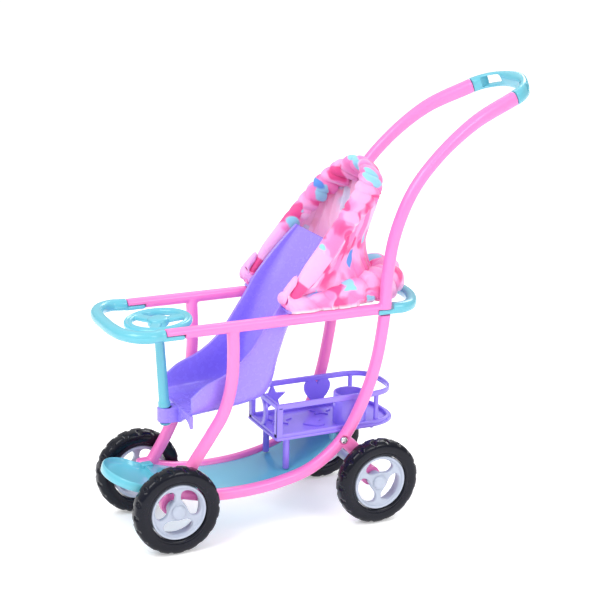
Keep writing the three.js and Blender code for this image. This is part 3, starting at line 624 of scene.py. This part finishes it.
front_bumper = bumper("front_bumper_look", [
    [RAIL_X, -5.0, LAP], [RAIL_X + 0.1, -7, LAP], [23.9, -11, LAP], [21.6, -16.6, LAP],
    [16, -20.5, LAP], [8, -22.1, LAP], [0, -22.3, LAP]], rounded(5, 5.4, 2.3),
    block((RAIL_X - 2.5, RAIL_X + 2.5), (-6.2, 3.2), (RAIL_LOW, LAP - 0.3), 0.7))
finish_piece(front_bumper, "frame", "teal_plastic", "front_bumper")

rear_bumper = bumper("rear_bumper_look", [
    [23.6, 99.5, LAP], [23.8, 101.5, LAP], [23.8, 104.5, LAP], [21.4, 109.3, LAP],
    [16, 113.2, LAP], [8.3, 116.2, LAP], [0, 117.1, LAP]], rounded(5, 5, 2.1),
    block((24.5, 25.9), (92.2, 101.5), (RAIL_LOW + 0.2, LAP), 0.5))
finish_piece(rear_bumper, "frame", "teal_plastic", "rear_bumper")


def handle_grip():
    """A flat band on edge, with a finger slot cut straight back into each half."""
    end = LONG_BAR[-1]
    along = unit(LONG_BAR[-1] - LONG_BAR[-2])
    start = end + along * 0.3
    pull = start + along * 17.8 - Z * 0.8
    flip = np.array([-1, 1, 1])
    path = evenly(bezier([start, pull, pull * flip, start * flip], np.linspace(0, 1, 200)), 90)
    back = unit(np.array([0, along[1], along[2]]))
    normal = np.cross(X, back)
    inward = 1 - np.abs(2 * np.linspace(0, 1, len(path)) - 1)
    swell = np.column_stack([
        GRIP_SWELL + 0.08 * smoothstep(0, 0.4, inward),
        1 - 0.3 * smoothstep(0, 0.3, inward) + 0.5 * smoothstep(0.5, 1, inward)])
    piece = make("handle_grip_look", sweep(path, rounded(BAR, BAR, 1.7), normal, swell), TEAL)
    slot_high, slot_near = 2.3, 7.6
    turn = np.linspace(math.pi / 2, 1.5 * math.pi, 16)
    section = np.vstack([
        [(SLOT_END, -slot_high), (SLOT_END, slot_high)],
        np.column_stack([slot_near + slot_high * (1 + np.cos(turn)), slot_high * np.sin(turn)])])
    tools = []
    for side in (1, -1):
        rings = [start * [0, 1, 1] + back * reach + side * section[:, :1] * X + section[:, 1:] * normal
                 for reach in (3.6, 30)]
        tools.append(skin(rings))
    carve(piece, *tools)
    fuse(piece, 0.26, 3)
    return piece


finish_piece(handle_grip(), "frame", "teal_plastic", "handle_grip")


# ---- wheels
def tyre():
    """Chunky lugs on both shoulders of the tread, half a step apart from side to side."""
    lugs, steps = 18, 14
    profile = np.array([
        (-3.3, 12.7), (-3.75, 13.1), (-3.85, 13.6), (-3.7, 13.9), (-3.9, 14.5), (-4.0, 15.6),
        (-3.95, 16.5), (-3.75, 17.3), (-3.45, 17.95), (-3.0, 18.5), (-2.5, 18.85), (-1.8, 19.0),
        (-1.1, 19.08), (-0.75, 19.1), (-0.6, 19.1), (0, 19.12)])
    profile = np.vstack([profile, profile[-2::-1] * [-1, 1]])
    turn = np.linspace(0, 2 * math.pi, lugs * steps, endpoint=False)
    rings = []
    for x, radius in profile:
        reach = smoothstep(18.0, 18.75, radius) * smoothstep(0.62, 0.9, abs(x))
        phase = (turn * lugs / (2 * math.pi) + (0.5 if x > 0 else 0)) % 1
        groove = 1 - smoothstep(0.09, 0.17, np.abs(phase - 0.5))
        edge = smoothstep(17.8, 18.6, radius)
        r = radius - 0.6 * reach * groove
        inward = x + np.sign(-x) * 0.25 * groove * edge
        rings.append(np.column_stack([inward, r * np.cos(turn), r * np.sin(turn)]))
    return skin(rings, closed=True)


def spoke_gap(angle):
    turn = np.linspace(0, 2 * math.pi, 44, endpoint=False)
    radius = 7.35 + 3.15 * blunted(np.cos(turn), 0.75)
    at = angle + math.radians(50) * blunted(np.sin(turn), 0.75)
    return np.column_stack([radius * np.cos(at), radius * np.sin(at)])


def hub():
    holes = [spoke_gap(-math.pi / 2 + i * 2 * math.pi / 3) for i in range(3)]
    face = plate([circle(11.8, 96), *holes], 0.1, 2.5, 0.5, SIDE)
    rim = turned([(10.9, -3), (12.25, -3), (12.25, 3.1), (12.0, 3.5), (11.6, 3.6), (11.1, 3.3),
                  (10.8, 2.6), (10.75, 1.6), (10.9, -3)], "x", 96)
    boss = turned([(0.01, -3.6), (3.2, -3.6), (3.4, -3.2), (3.6, 1.4), (3.5, 2.4), (3.2, 2.75),
                   (0.01, 2.8)], "x", 48)
    piece = make("hub_pattern", [face, rim, boss], GREY, origin=False)
    fuse(piece, 0.2, 3)
    return piece


def axle_cap():
    return turned([(0.01, 2.9), (3.15, 2.9), (3.2, 3.2), (3.05, 3.7), (2.6, 4.15), (1.8, 4.38), (0.9, 4.46),
                   (0.01, 4.5)], "x", 48)


tyre_pattern = make("tyre_pattern", tyre(), BLACK, origin=False)
hub_pattern = hub()
cap_pattern = make("cap_pattern", axle_cap(), GREY, origin=False)
for name in ("front_left", "front_right", "rear_left", "rear_right"):
    low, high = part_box(f"tyre_{name}")
    centre = (low + high) / 2
    side = 1 if centre.x > 0 else -1
    place = Matrix.Translation(centre) @ Matrix.Rotation(0 if side > 0 else math.pi, 4, "Z")
    if name.startswith("rear"):
        place = place @ Matrix.Rotation(math.pi, 4, "X")
    for part, pattern, body, slot in (("tyre", tyre_pattern, f"wheel_{name}", "black_plastic"),
                                      ("hub", hub_pattern, f"wheel_{name}", "grey_plastic"),
                                      ("axle_cap", cap_pattern, "frame", "grey_plastic")):
        piece = placed(f"{part}_{name}_look", pattern.data)
        piece.matrix_world = place
        finish_piece(piece, body, slot, f"{part}_{name}")
for pattern in (tyre_pattern, hub_pattern, cap_pattern):
    bpy.data.objects.remove(pattern)

# ---- steering
COLUMN_Y, NOSE_LOW, NOSE_HIGH, NOSE_MIDDLE = 4.0, 50.0, 56.6, 53.3
LEAN = Matrix.Translation((0, COLUMN_Y, NOSE_MIDDLE)) @ Matrix.Rotation(math.radians(4.2), 4, "X")
STEERING_Z = 95.2 - NOSE_MIDDLE


def steering_column():
    profile = [(0.01, 48.3), (1.3, 48.3), (2.1, 48.7), (2.5, 49.3), (2.5, 49.6), (2.2, 49.7), (1.9, 49.7),
               (1.9, 56.9), (2.6, 56.9), (2.7, 57.3), (2.65, 58.6), (2.45, 59.2), (2.25, 59.8), (2.1, 80),
               (2.05, 95), (0.01, 95)]
    solid = turned([(r, z - NOSE_MIDDLE) for r, z in profile], sides=40)
    return make("steering_column_look", transformed(solid, LEAN), TEAL)


def steering_wheel():
    ring = []
    for i in range(40):
        turn = i / 40 * 2 * math.pi
        r = 12.65 + 1.85 * blunted(math.cos(turn), 0.8)
        z = 1.55 * blunted(math.sin(turn), 0.8)
        z -= 0.6 * math.exp(-(((r - 12.6) / 0.42) ** 2)) * (z > 0)
        ring.append((r, z))
    centre = [(0.01, -1.7), (4.1, -1.7), (4.5, -1.3), (4.5, 0.9), (4.1, 1.5), (3.0, 1.75), (0.01, 1.8)]
    solids = [turned(ring + ring[:1], sides=120), turned(centre, sides=48)]
    for i in range(3):
        spoke = block((1, 12.6), (-2.2, 2.2), (-0.95, 0.95), 0.8)
        solids.append(transformed(spoke, Matrix.Rotation(math.pi / 2 + i * 2 * math.pi / 3, 4, "Z")))
    lifted = [transformed(moved(s, z=STEERING_Z), LEAN) for s in solids]
    piece = make("steering_wheel_look", lifted, TEAL)
    fuse(piece, 0.24, 2)
    return piece


finish_piece(steering_column(), "steering", "teal_plastic", "steering_column")
finish_piece(steering_wheel(), "steering", "teal_plastic", "steering_wheel")

# ---- seat
SEAT_HALF, SEAT_THICK = 15.8, 1.6
PIVOT = np.array([0, 51.8, 103.4])
WALL_EDGE = [(9.9, 64.5), (16, 69), (24.6, 72.5), (31.5, 77.1), (36.6, 81.9), (40.3, 86.9), (44, 92.5),
             (48.3, 98.8), (53, 106.5), (61.5, 116.6), (71, 127.3)]
WALL_FOOT = [(9.9, 55.9), (18, 56.3), (27.6, 56.9), (36.7, 57.9), (43.9, 59.7), (47.2, 65.6), (49.5, 76),
             (53.4, 89.2), (58.3, 101.2), (64.8, 113.3), (72.4, 126.3)]
SEAT_MIDDLE = [(9.9, 55.5), (18, 55.9), (27.6, 56.5), (37.2, 57.5), (45.2, 60.2), (49.6, 65.8), (52.3, 75.6),
               (56.8, 87.8), (62.2, 99.4), (68.4, 111), (76, 124.5)]


def by_index(points, v):
    """A uniform Catmull-Rom curve through the points, at the shares v of the way by number."""
    p = np.array(points, float)
    at = np.asarray(v) * (len(p) - 1)
    i = np.minimum(at.astype(int), len(p) - 2)
    t = (at - i)[:, None]
    a, b, c, d = p[np.maximum(i - 1, 0)], p[i], p[i + 1], p[np.minimum(i + 2, len(p) - 1)]
    start, end = (c - a) / 2, (d - b) / 2
    return ((2 * b - 2 * c + start + end) * t**3 + (-3 * b + 3 * c - 2 * start - end) * t**2 + start * t + b)


def seat_shell():
    columns, rows = 60, 90
    v = np.linspace(0, 1, rows)
    edge, foot, middle = (by_index(line, v) for line in (WALL_EDGE, WALL_FOOT, SEAT_MIDDLE))
    grid = np.zeros((rows, columns + 1, 3))
    for k in range(columns + 1):
        u = k / columns
        turn = min(u, 1 - u) * math.pi
        out, down = max(math.cos(turn), 0) ** 0.42, max(math.sin(turn), 0) ** 0.42
        base = foot + (middle - foot) * (1 - out * out)
        line = edge + (base - edge) * down
        half = SEAT_HALF * (1 - 0.16 * smoothstep(0.88, 1.06, v))
        grid[:, k] = np.column_stack([(1 if u < 0.5 else -1) * half * out, line])
    du, dv = np.gradient(grid, axis=1), np.gradient(grid, axis=0)
    normal = unit(np.cross(du, dv))
    along = unit(dv)
    bead = np.linspace(0, math.pi, 7)[1:-1, None]

    def ring(i, half, shift=0.0):
        """One row of the shell: its two faces, joined over each wall's edge by a half-round bead."""
        row, out = grid[i] + along[i] * shift, normal[i]
        first, last = unit(row[0] - row[1]), unit(row[-1] - row[-2])
        over_last = row[-1] + (out[-1] * np.cos(bead) + last * 0.8 * np.sin(bead)) * half
        over_first = row[0] + (-out[0] * np.cos(bead) + first * 0.8 * np.sin(bead)) * half
        return np.vstack([row + out * half, over_last, (row - out * half)[::-1], over_first])

    half = SEAT_THICK / 2
    rings = [ring(0, half * 0.6, -0.3), ring(0, half, -0.05)] + [ring(i, half) for i in range(1, rows - 1)]
    return skin(rings + [ring(-1, half, 0.05), ring(-1, half * 0.6, 0.3)])


def seat():
    half = SEAT_HALF + SEAT_THICK / 2
    t = np.linspace(0, 1, 12)[:, None]
    scallop = ((1 - t) ** 2 * [8, 52.6] + 2 * t * (1 - t) * [12.5, 56] + t * t * [half, 51.4])
    apron = np.vstack([[(-half, 57)], scallop[::-1] * [-1, 1], [(-4, NOSE_LOW), (4, NOSE_LOW)], scallop,
                       [(half, 57)]])
    nose = turned([(0.01, NOSE_LOW), (2.9, NOSE_LOW), (3.4, NOSE_LOW + 0.5), (3.4, NOSE_HIGH - 0.5),
                   (2.9, NOSE_HIGH), (0.01, NOSE_HIGH)], sides=40)
    solids = [
        seat_shell(),
        plate([apron], 0, 1.6, 0.3, Matrix.Translation((0, 10.3, 0)) @ FRONT),
        block((-3.4, 3.4), (COLUMN_Y, 10), (NOSE_LOW, NOSE_HIGH), 0.5),
        moved(nose, y=COLUMN_Y),
    ]
    for side in (1, -1):
        extra = [block((15.4, 23.4), (50.4, 55.4), (99.2, 100.2), 0.4),
                 pin(1.3, 15.4, 22.6, PIVOT[1], PIVOT[2], 24)]
        solids += extra if side > 0 else [mirrored(e) for e in extra]
    return make("seat_look", solids, LILAC)


finish_piece(seat(), "frame", "lilac_plastic", "seat")

# ---- tray
TRAY_HALF, TRAY_FRONT, TRAY_REAR, TRAY_FLOOR, TRAY_TOP = 15.6, 49.5, 112.0, 39.2, 55.8
RAIL_SET_BACK = 1.8
CUP = (7.6, 88.9)


def tray_outline(inset, set_back=0.0):
    half, front, rear = TRAY_HALF - inset, TRAY_FRONT + inset, TRAY_REAR - inset - set_back
    radius = max(1.2 - inset, 0.15)
    corner = [(half - radius + radius * math.sin(a), front + radius - radius * math.cos(a))
              for a in np.linspace(0, math.pi / 2, 6)]
    curve = bezier([(half, 94), (half, 106), (10, rear), (0, rear)], np.linspace(0, 1, 26))
    right = np.vstack([corner, curve])
    left = right[-2::-1] * [-1, 1]
    return np.vstack([right, left])


def band(outer, inner, low, high, bevel=0.3):
    return plate([tray_outline(outer, RAIL_SET_BACK), tray_outline(inner, RAIL_SET_BACK)], low, high, bevel)


def star(y, z, radius, core=0.45):
    turn = math.pi / 2 + np.arange(10) / 10 * 2 * math.pi
    reach = np.where(np.arange(10) % 2 == 0, radius, radius * core)
    return np.column_stack([y + reach * np.cos(turn), z + reach * np.sin(turn)])


def heart(y, z, size):
    s = size
    t = np.linspace(0, 1, 14, endpoint=False)
    lobe = np.vstack([bezier([(0, -s), (s * 0.7, -s * 0.4), (s * 1.3, s * 0.2), (s * 0.9, s * 0.8)], t),
                      bezier([(s * 0.9, s * 0.8), (s * 0.6, s * 1.15), (s * 0.1, s), (0, s * 0.6)], t)])
    other = np.vstack([[(0, s * 0.6)], lobe[:0:-1] * [-1, 1]])
    return np.vstack([lobe, other]) + [y, z]


def crescent(x, z, radius):
    a = np.linspace(-0.38 * math.pi, 0.38 * math.pi, 24)
    b = np.linspace(0.31 * math.pi, -0.31 * math.pi, 20)
    outer = np.column_stack([x + radius * np.cos(a), z + radius * np.sin(a)])
    inner = np.column_stack([x - radius * 0.35 + radius * 0.97 * np.cos(b), z + radius * 0.97 * np.sin(b)])
    return np.vstack([outer, inner])


def tray():
    low, rail_low = TRAY_FLOOR + 1.3, TRAY_TOP - 2.5
    middle = (TRAY_FLOOR + TRAY_TOP) / 2
    wall = TRAY_HALF - 0.4
    on_wall = Matrix.Translation((-wall, 0, 0)) @ SIDE
    in_front = Matrix.Translation((0, TRAY_FRONT + 1.8, 0)) @ FRONT
    post_z = (low - 0.3, rail_low + 1)
    posts = [block(xs, ys, post_z, 0.35) for xs, ys in (
        ((wall - 1.5, wall), (50, 52.8)),
        ((wall - 3.4, wall - 0.3), (TRAY_FRONT + 0.5, TRAY_FRONT + 2)),
        ((12, 13.5), (98.6, 100.4)))]
    cup = turned([(6.4, low), (6.4, 54.1), (6.6, 54.45), (6.9, 54.5), (7.25, 54.35), (7.4, 54),
                  (7.4, low - 0.3), (6.4, low - 0.3), (6.4, low)], sides=72)
    solids = [
        plate([tray_outline(0)], TRAY_FLOOR, low, 0.4),
        band(0.5, 1.9, low - 0.3, low + 1.5, 0.3),
        band(0.4, 1.9, rail_low, TRAY_TOP, 0.45),
        *posts,
        *(mirrored(post) for post in posts),
        slab(star(61, middle + 0.2, 6.9), 0, 1.4, 0.25, on_wall),
        slab(heart(83.5, middle + 0.2, 6.4), 0, 1.4, 0.25, on_wall),
        slab(crescent(-4.2, middle, 7.4), 0, 1.4, 0.25, in_front),
        slab(star(-4.5, 60, 6.2, 0.5), low - 0.3, low + 0.6, 0.2),
        slab(heart(4, 72.5, 4.6), low - 0.3, low + 0.6, 0.2),
        slab(star(-7.5, 82, 5, 0.5), low - 0.3, low + 0.6, 0.2),
        moved(cup, *CUP),
    ]
    top = TRAY_FLOOR + 0.5
    leg = turned([(0.01, 24.1), (1.2, 24.1), (1.5, 24.5), (1.5, top), (0.01, top)], sides=28)
    stud = turned([(0.01, 36.8), (0.8, 36.8), (1, 37.1), (1, top), (0.01, top)], sides=24)
    for side in (-1, 1):
        solids += [moved(leg, side * 10.6, 56.6), moved(stud, side * 10, 99)]
    return make("tray_look", solids, VIOLET)


finish_piece(tray(), "frame", "violet_plastic", "tray")

# ---- canopy
HOOD_ANGLE = math.radians(50.5)
ALONG = np.array([0, math.cos(HOOD_ANGLE), math.sin(HOOD_ANGLE)])
NORMAL = np.cross(X, ALONG)


def on_hoop(x, reach, back=0.0):
    return (np.array([x, 0, 0]) + PIVOT + ALONG * reach - NORMAL * back).tolist()


FRONT_HOOP = across([on_hoop(*p) for p in [
    (20.7, 2.2), (20.4, 18), (19.6, 34), (18.1, 46, 0.5), (15.6, 56.5, 1.4), (10.3, 64.2, 2.1),
    (0, 68, 2.4)]])
REAR_HOOP = across([
    [18.5, PIVOT[1] + 2.2, PIVOT[2]], [18.4, 70, 102.9], [17.4, 90, 102.3], [15.6, 99.4, 102.6],
    [10.8, 105.8, 103], [0, 108.3, 103.3]])


def hoop(name, line, eye_x):
    eye = pin(2.9, eye_x - 0.85, eye_x + 0.85, PIVOT[1], PIVOT[2], 40)
    bar = sweep(spline(line, 160), circle(1.2, 16), X)
    return make(f"{name}_look", [bar, eye, mirrored(eye)], PINK)


for name, line, eye_x, body in (("canopy_front_hoop", FRONT_HOOP, 20.7, "hood"),
                                ("canopy_rear_hoop", REAR_HOOP, 18.5, "frame")):
    finish_piece(hoop(name, line, eye_x), body, "pink_plastic", name)


def wander(a, b, seed):
    """A smooth random field of two coordinates, from about -1 to 1."""
    random = np.random.default_rng(seed)
    total = 0
    for k in range(6):
        angle = random.uniform(0, 2 * math.pi)
        size = 0.6 + 0.4 * k
        phase = random.uniform(0, 2 * math.pi)
        total = total + np.sin(size * (a * math.cos(angle) + b * math.sin(angle)) + phase) / (1 + 0.35 * k)
    return total / 2.4


def gathers(length, turn, pitch, seed, sharp=0.7):
    """Soft swellings with creases between them, from about -0.6 to 0.4, no two alike."""
    phase = length / pitch + 0.42 * wander(length * 0.13, turn * 0.9, seed)
    size = 0.75 + 0.45 * wander(length * 0.21, turn * 0.7, seed + 1)
    return (np.abs(np.sin(math.pi * phase)) ** sharp - 0.6) * size


# How much painted shade a fold's crease gets: 0 on the swellings, rising towards 1 in the creases.
def crease_shade(fold):
    return np.clip(-0.25 - np.asarray(fold) * 1.6, 0, 1)


FULLNESS = 1.1


def fabric(name, rows, length, across_from, masks):
    """A sheet of cloth through rows of points, with its own flat coordinates in centimetres."""
    grid = np.array(rows)
    count, columns = grid.shape[:2]
    across_cloth = run(grid[:, columns // 4])
    mesh = bpy.data.meshes.new(name)
    faces = [(r * columns + c, (r + 1) * columns + c, (r + 1) * columns + c + 1, r * columns + c + 1)
             for r in range(count - 1) for c in range(columns - 1)]
    mesh.from_pydata(metres(grid.reshape(-1, 3)).tolist(), [], faces)
    uv = mesh.uv_layers.new(name="cloth")
    flat_u = np.repeat((length * FULLNESS / 10)[None], count, axis=0).ravel()
    flat_v = np.repeat((across_from + across_cloth / 10)[:, None], columns, axis=1).ravel()
    corners = np.zeros(len(mesh.loops), int)
    mesh.loops.foreach_get("vertex_index", corners)
    uv.data.foreach_set("uv", np.column_stack([flat_u[corners], flat_v[corners]]).ravel())
    for key, values in masks.items():
        attribute = mesh.attributes.new(key, "FLOAT", "POINT")
        attribute.data.foreach_set("value", np.asarray(values, float).ravel().astype(np.float32))
    obj = placed(name, mesh)
    mesh.materials.append(CLOTH)
    mesh.materials.append(LINING)
    thick = obj.modifiers.new("thickness", "SOLIDIFY")
    thick.thickness = 0.4 * MM
    thick.offset = 0
    thick.material_offset = 1
    apply_modifiers(obj)
    shade(obj, 80)
    return obj


# The hem runs along both rails, over the hoops' pivots, and swells into a roll behind the seat.
HEM = across([
    [20.8, 55, 113.6], [20.8, 51, 108.9], [20.6, 49.5, 105.4], [20.4, 52.6, 102.7], [20.3, 62, 102.6],
    [20.1, 74, 103.4], [19.3, 83, 104.9], [17, 91.5, 105.7], [13.4, 99.2, 105.2], [7.8, 105.2, 104.6],
    [0, 106.6, 104.5]])
HEM_COUNT = 420
hem_line = spline(HEM, HEM_COUNT)
hem_share = np.linspace(0, 1, HEM_COUNT)
hem_middle = 1 - np.abs(2 * hem_share - 1)
hem_along = unit(np.gradient(hem_line, axis=0))
hem_out = unit(np.cross(hem_along, Z))
hem_length = run(hem_line)
hem_wide = 1.4 + 1.9 * smoothstep(0.04, 0.17, hem_middle) + 0.4 * smoothstep(0.36, 0.5, hem_middle)
hem_wide += 3.2 * smoothstep(0.5, 0.86, hem_middle)
hem_high = 2.0 + 1.4 * smoothstep(0.05, 0.2, hem_middle) + 2.1 * smoothstep(0.34, 0.52, hem_middle)
hem_high += 1.6 * smoothstep(0.5, 0.86, hem_middle)


def canopy_hem():
    rows, crease_shades = [], []
    end = np.minimum(hem_length, hem_length[-1] - hem_length)
    near_end = np.clip(end / 2.2, 0.03, 1)
    closing = np.sqrt(near_end * (2 - near_end))
    pleated = smoothstep(0.16, 0.34, hem_middle)
    for turn in np.linspace(2 * math.pi, 0, 44):
        psi = turn - 0.62 * math.pi
        fold = gathers(hem_length + 3.6 * math.sin(psi + 0.6), turn, 8.4, 21, 0.6)
        fine = wander(hem_length * 0.75, turn * 2.4, 23)
        puff = 1 + pleated * (0.36 * fold + 0.04 * fine)
        # The creases of the hem's pleats get painted shade.
        crease_shades.append(crease_shade(fold) * pleated)
        flat = blunted(math.cos(psi), 0.85)
        tall = blunted(math.sin(psi), 0.9)
        rows.append(hem_line + hem_out * (hem_wide * puff * closing * flat)[:, None]
                    + Z * (hem_high * puff * closing * tall)[:, None])
    grid = np.array(rows)
    x, y, z = grid[..., 0], grid[..., 1], grid[..., 2]
    side = np.abs(x)
    # It lies on the rails and on the rear bumper, and passes inside the handle bars.
    lying = RAIL_HIGH + 0.4
    z = np.where((side > 19.4) & (y < 92) & (z < lying + 1.1), lying, z)
    z = np.where(y > 109 - 0.12 * side, np.maximum(z, lying + 0.2), z)
    spread = 1 - smoothstep(lying, lying + 2.2, z)
    side = side + 0.9 * spread * (side > 20.4) * (y < 84)
    limit = 24.4 - 3.8 * smoothstep(83, 89, y) * (1 - smoothstep(102, 107, y))
    side = np.clip(side, np.where(y < 66, 16.95, 0), limit)
    grid = np.stack([np.sign(x) * side, y, z], axis=-1)
    plain = np.broadcast_to(0.9 * (1 - smoothstep(0.22, 0.34, hem_middle)), side.shape)
    white = (1 - smoothstep(99.6, 100.5, z)) * (side > 20)
    return fabric("canopy_hem", grid, hem_length, 12, {
        "plain": plain, "white": white, "hot": np.zeros(side.shape), "crease_shade": crease_shades})


def canopy_cloth():
    columns, loop, panel = 420, 40, 30
    t = np.linspace(0, 1, columns)
    mid = 1 - np.abs(2 * t - 1)
    front = spline(FRONT_HOOP, columns)
    outward = unit(np.cross(unit(np.gradient(front, axis=0)), NORMAL))
    length = run(front)

    # The sleeve on the front hoop: smooth on the legs and gathered round the top.
    gathered = smoothstep(0.28, 0.6, mid)
    half = 2.5 + 1.6 * smoothstep(0.02, 0.2, mid) + 1.5 * smoothstep(0.45, 0.8, mid)
    deep = 1.9 + 0.5 * smoothstep(0, 0.3, mid) + 0.4 * gathered
    rows, crease_shades = [], []
    for turn in np.linspace(0, 2 * math.pi, loop):
        seam = 0.5 + 0.5 * math.cos(turn)
        fold = gathers(length + 0.9 * math.sin(2 * turn), turn, 5.4, 4, 0.62)
        fine = wander(length * 0.9, turn * 2.2, 5)
        # The creases of the sleeve's gathers get painted shade, more towards the seam.
        crease_shades.append(crease_shade(fold) * gathered * (0.4 + 0.6 * seam))
        swell = (1 + gathered * ((0.26 + 0.34 * seam) * fold + 0.04 * fine)
                 + (1 - gathered) * 0.025 * wander(length * 0.25, turn * 2, 6))
        thick = blunted(math.sin(turn), 0.8)
        rows.append(front - NORMAL * (half * swell * math.cos(turn))[:, None]
                    - outward * (deep * swell * thick)[:, None])

    # The panel from the sleeve's seam, drawn in towards the seat, to its foot inside the hem.
    start = rows[-1].copy()
    at = np.interp(t, hem_share, np.arange(HEM_COUNT)).astype(int)
    turn_in = 0.5 * math.pi + 0.36 * math.pi * smoothstep(0.55, 0.9, mid)
    tucked = 0.62 + 0.3 * smoothstep(0.5, 0.8, mid)
    foot = (hem_line[at] + hem_out[at] * (tucked * hem_wide[at] * np.cos(turn_in))[:, None]
            + Z * (0.72 * hem_high[at] * np.sin(turn_in))[:, None])
    drawn = smoothstep(0.15, 0.75, mid)[:, None]
    reach = foot - start
    first = start + reach / 3 * (1 - drawn) + np.array([0, -2.0, -13]) * drawn
    second = foot - reach / 3 * (1 - drawn) + np.array([0, -9.8, 15]) * drawn
    for v in np.linspace(0, 1, panel)[1:]:
        middle = math.sin(math.pi * v)
        point = ((1 - v) ** 3 * start + 3 * (1 - v) ** 2 * v * first
                 + 3 * (1 - v) * v * v * second + v**3 * foot)
        away = unit(outward * (1 - v) + hem_out[at] * v)
        near_seam = math.exp(-((v / 0.25) ** 2)) * gathered
        near_foot = math.exp(-(((1 - v) / 0.35) ** 2)) * smoothstep(0.2, 0.5, mid)
        pleats = gathers(length, v * 2.2, 7.4, 8)
        sag = wander(length * 0.1, v * 3.2, 9) * smoothstep(0.1, 0.4, mid) * middle
        long_fold = gathers(length + 9 * v, v, 15, 15, 1.2) * middle**0.7 * smoothstep(0.3, 0.6, mid)
        out = pleats * (0.9 * near_seam + 1.1 * near_foot) + 0.8 * sag + 1.5 * long_fold
        rows.append(point + away * out[:, None])
        # Painted shade in the creases of the pleats near the seam and near the foot.
        crease_shades.append(crease_shade(pleats) * np.clip(0.8 * near_seam + 0.8 * near_foot, 0, 1))

    grid = np.array(rows)
    side = np.abs(grid[..., 0])
    limit = 24.3 - 3.6 * smoothstep(84, 90, grid[..., 1]) * (1 - smoothstep(112, 118, grid[..., 2]))
    grid[..., 0] = np.sign(grid[..., 0]) * np.minimum(side, limit)
    plain = np.zeros(grid.shape[:2])
    hot = np.zeros(grid.shape[:2])
    plain[:loop] = smoothstep(0.09, 0.1, mid) * (1 - smoothstep(0.3, 0.32, mid))
    hot[:loop] = 1 - smoothstep(0.09, 0.1, mid)
    return fabric("canopy_fabric", grid, length, 0, {
        "plain": plain, "hot": hot, "white": np.zeros(hot.shape), "crease_shade": crease_shades})


hem = canopy_hem()
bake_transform(hem)
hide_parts("canopy_rear_casing")
canopy_fabric = canopy_cloth()
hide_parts("canopy_cover", "canopy_front_casing")
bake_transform(canopy_fabric)

# ---- floor, lights and camera
floor = bpy.data.meshes.new("studio_floor")
floor.from_pydata([(-4, -4, 0), (4, -4, 0), (4, 4, 0), (-4, 4, 0)], [], [(0, 1, 2, 3)])
floor_material, floor_tree, floor_shader = new_material("studio_floor")
floor_noise = node(floor_tree, "ShaderNodeTexNoise", {"Scale": 3.0})
floor_color = mix_color(floor_tree, floor_noise.outputs[0], (0.93, 0.93, 0.94, 1), (0.96, 0.96, 0.96, 1))
fill(floor_tree, floor_shader, {
    "Base Color": floor_color, "Roughness": 0.5, "Specular IOR Level": 0.3,
    "Emission Color": (1, 1, 1, 1), "Emission Strength": 0.3})
floor.materials.append(floor_material)
placed("studio_floor", floor)

world = bpy.data.worlds.new("studio")
bpy.context.scene.world = world
world.use_nodes = True
sky_tree = world.node_tree
height = node(sky_tree, "ShaderNodeSeparateXYZ", {0: coordinates(sky_tree, "Generated")}).outputs[2]
glow = ranged(sky_tree, height, 0.0, 0.7, 0.4, 0.92)
fill(sky_tree, sky_tree.nodes["Background"], {"Color": (1, 1, 1, 1), "Strength": glow})
bpy.context.scene.view_settings.view_transform = "Standard"


def area_light(name, location, target, size, power):
    light = bpy.data.lights.new(name, "AREA")
    light.shape = "RECTANGLE"
    light.size, light.size_y = size
    light.energy = power
    obj = placed(name, light)
    obj.location = location
    direction = Vector(target) - Vector(location)
    obj.rotation_euler = direction.to_track_quat("-Z", "Y").to_euler()


area_light("key", (0.25, -0.75, 0.95), (0, 0, 0.08), (0.6, 0.6), 7)
area_light("side", (1.0, 0.35, 0.7), (0, 0, 0.08), (0.5, 0.4), 3.5)
area_light("back", (-0.7, 0.7, 0.8), (0, 0, 0.1), (0.6, 0.4), 4)

CAMERA_PLACE = [614.34, -233.10, 302.72]
azimuth, elevation, roll = (math.radians(a) for a in (63.978, 16.737, 1.3548))
back = np.array([math.sin(azimuth) * math.cos(elevation), -math.cos(azimuth) * math.cos(elevation),
                 math.sin(elevation)])
right = np.array([math.cos(azimuth), math.sin(azimuth), 0])
up = np.cross(back, right)
camera = bpy.data.cameras.new("camera")
camera.lens = 98.43
camera.sensor_width = 36
camera.clip_start, camera.clip_end = 0.05, 20
camera_object = placed("camera", camera)
pose = np.eye(4)
pose[:3, 0] = math.cos(roll) * right + math.sin(roll) * up
pose[:3, 1] = -math.sin(roll) * right + math.cos(roll) * up
pose[:3, 2] = back
pose[:3, 3] = metres(CAMERA_PLACE)
camera_object.matrix_world = Matrix(pose.tolist())
bpy.context.scene.camera = camera_object
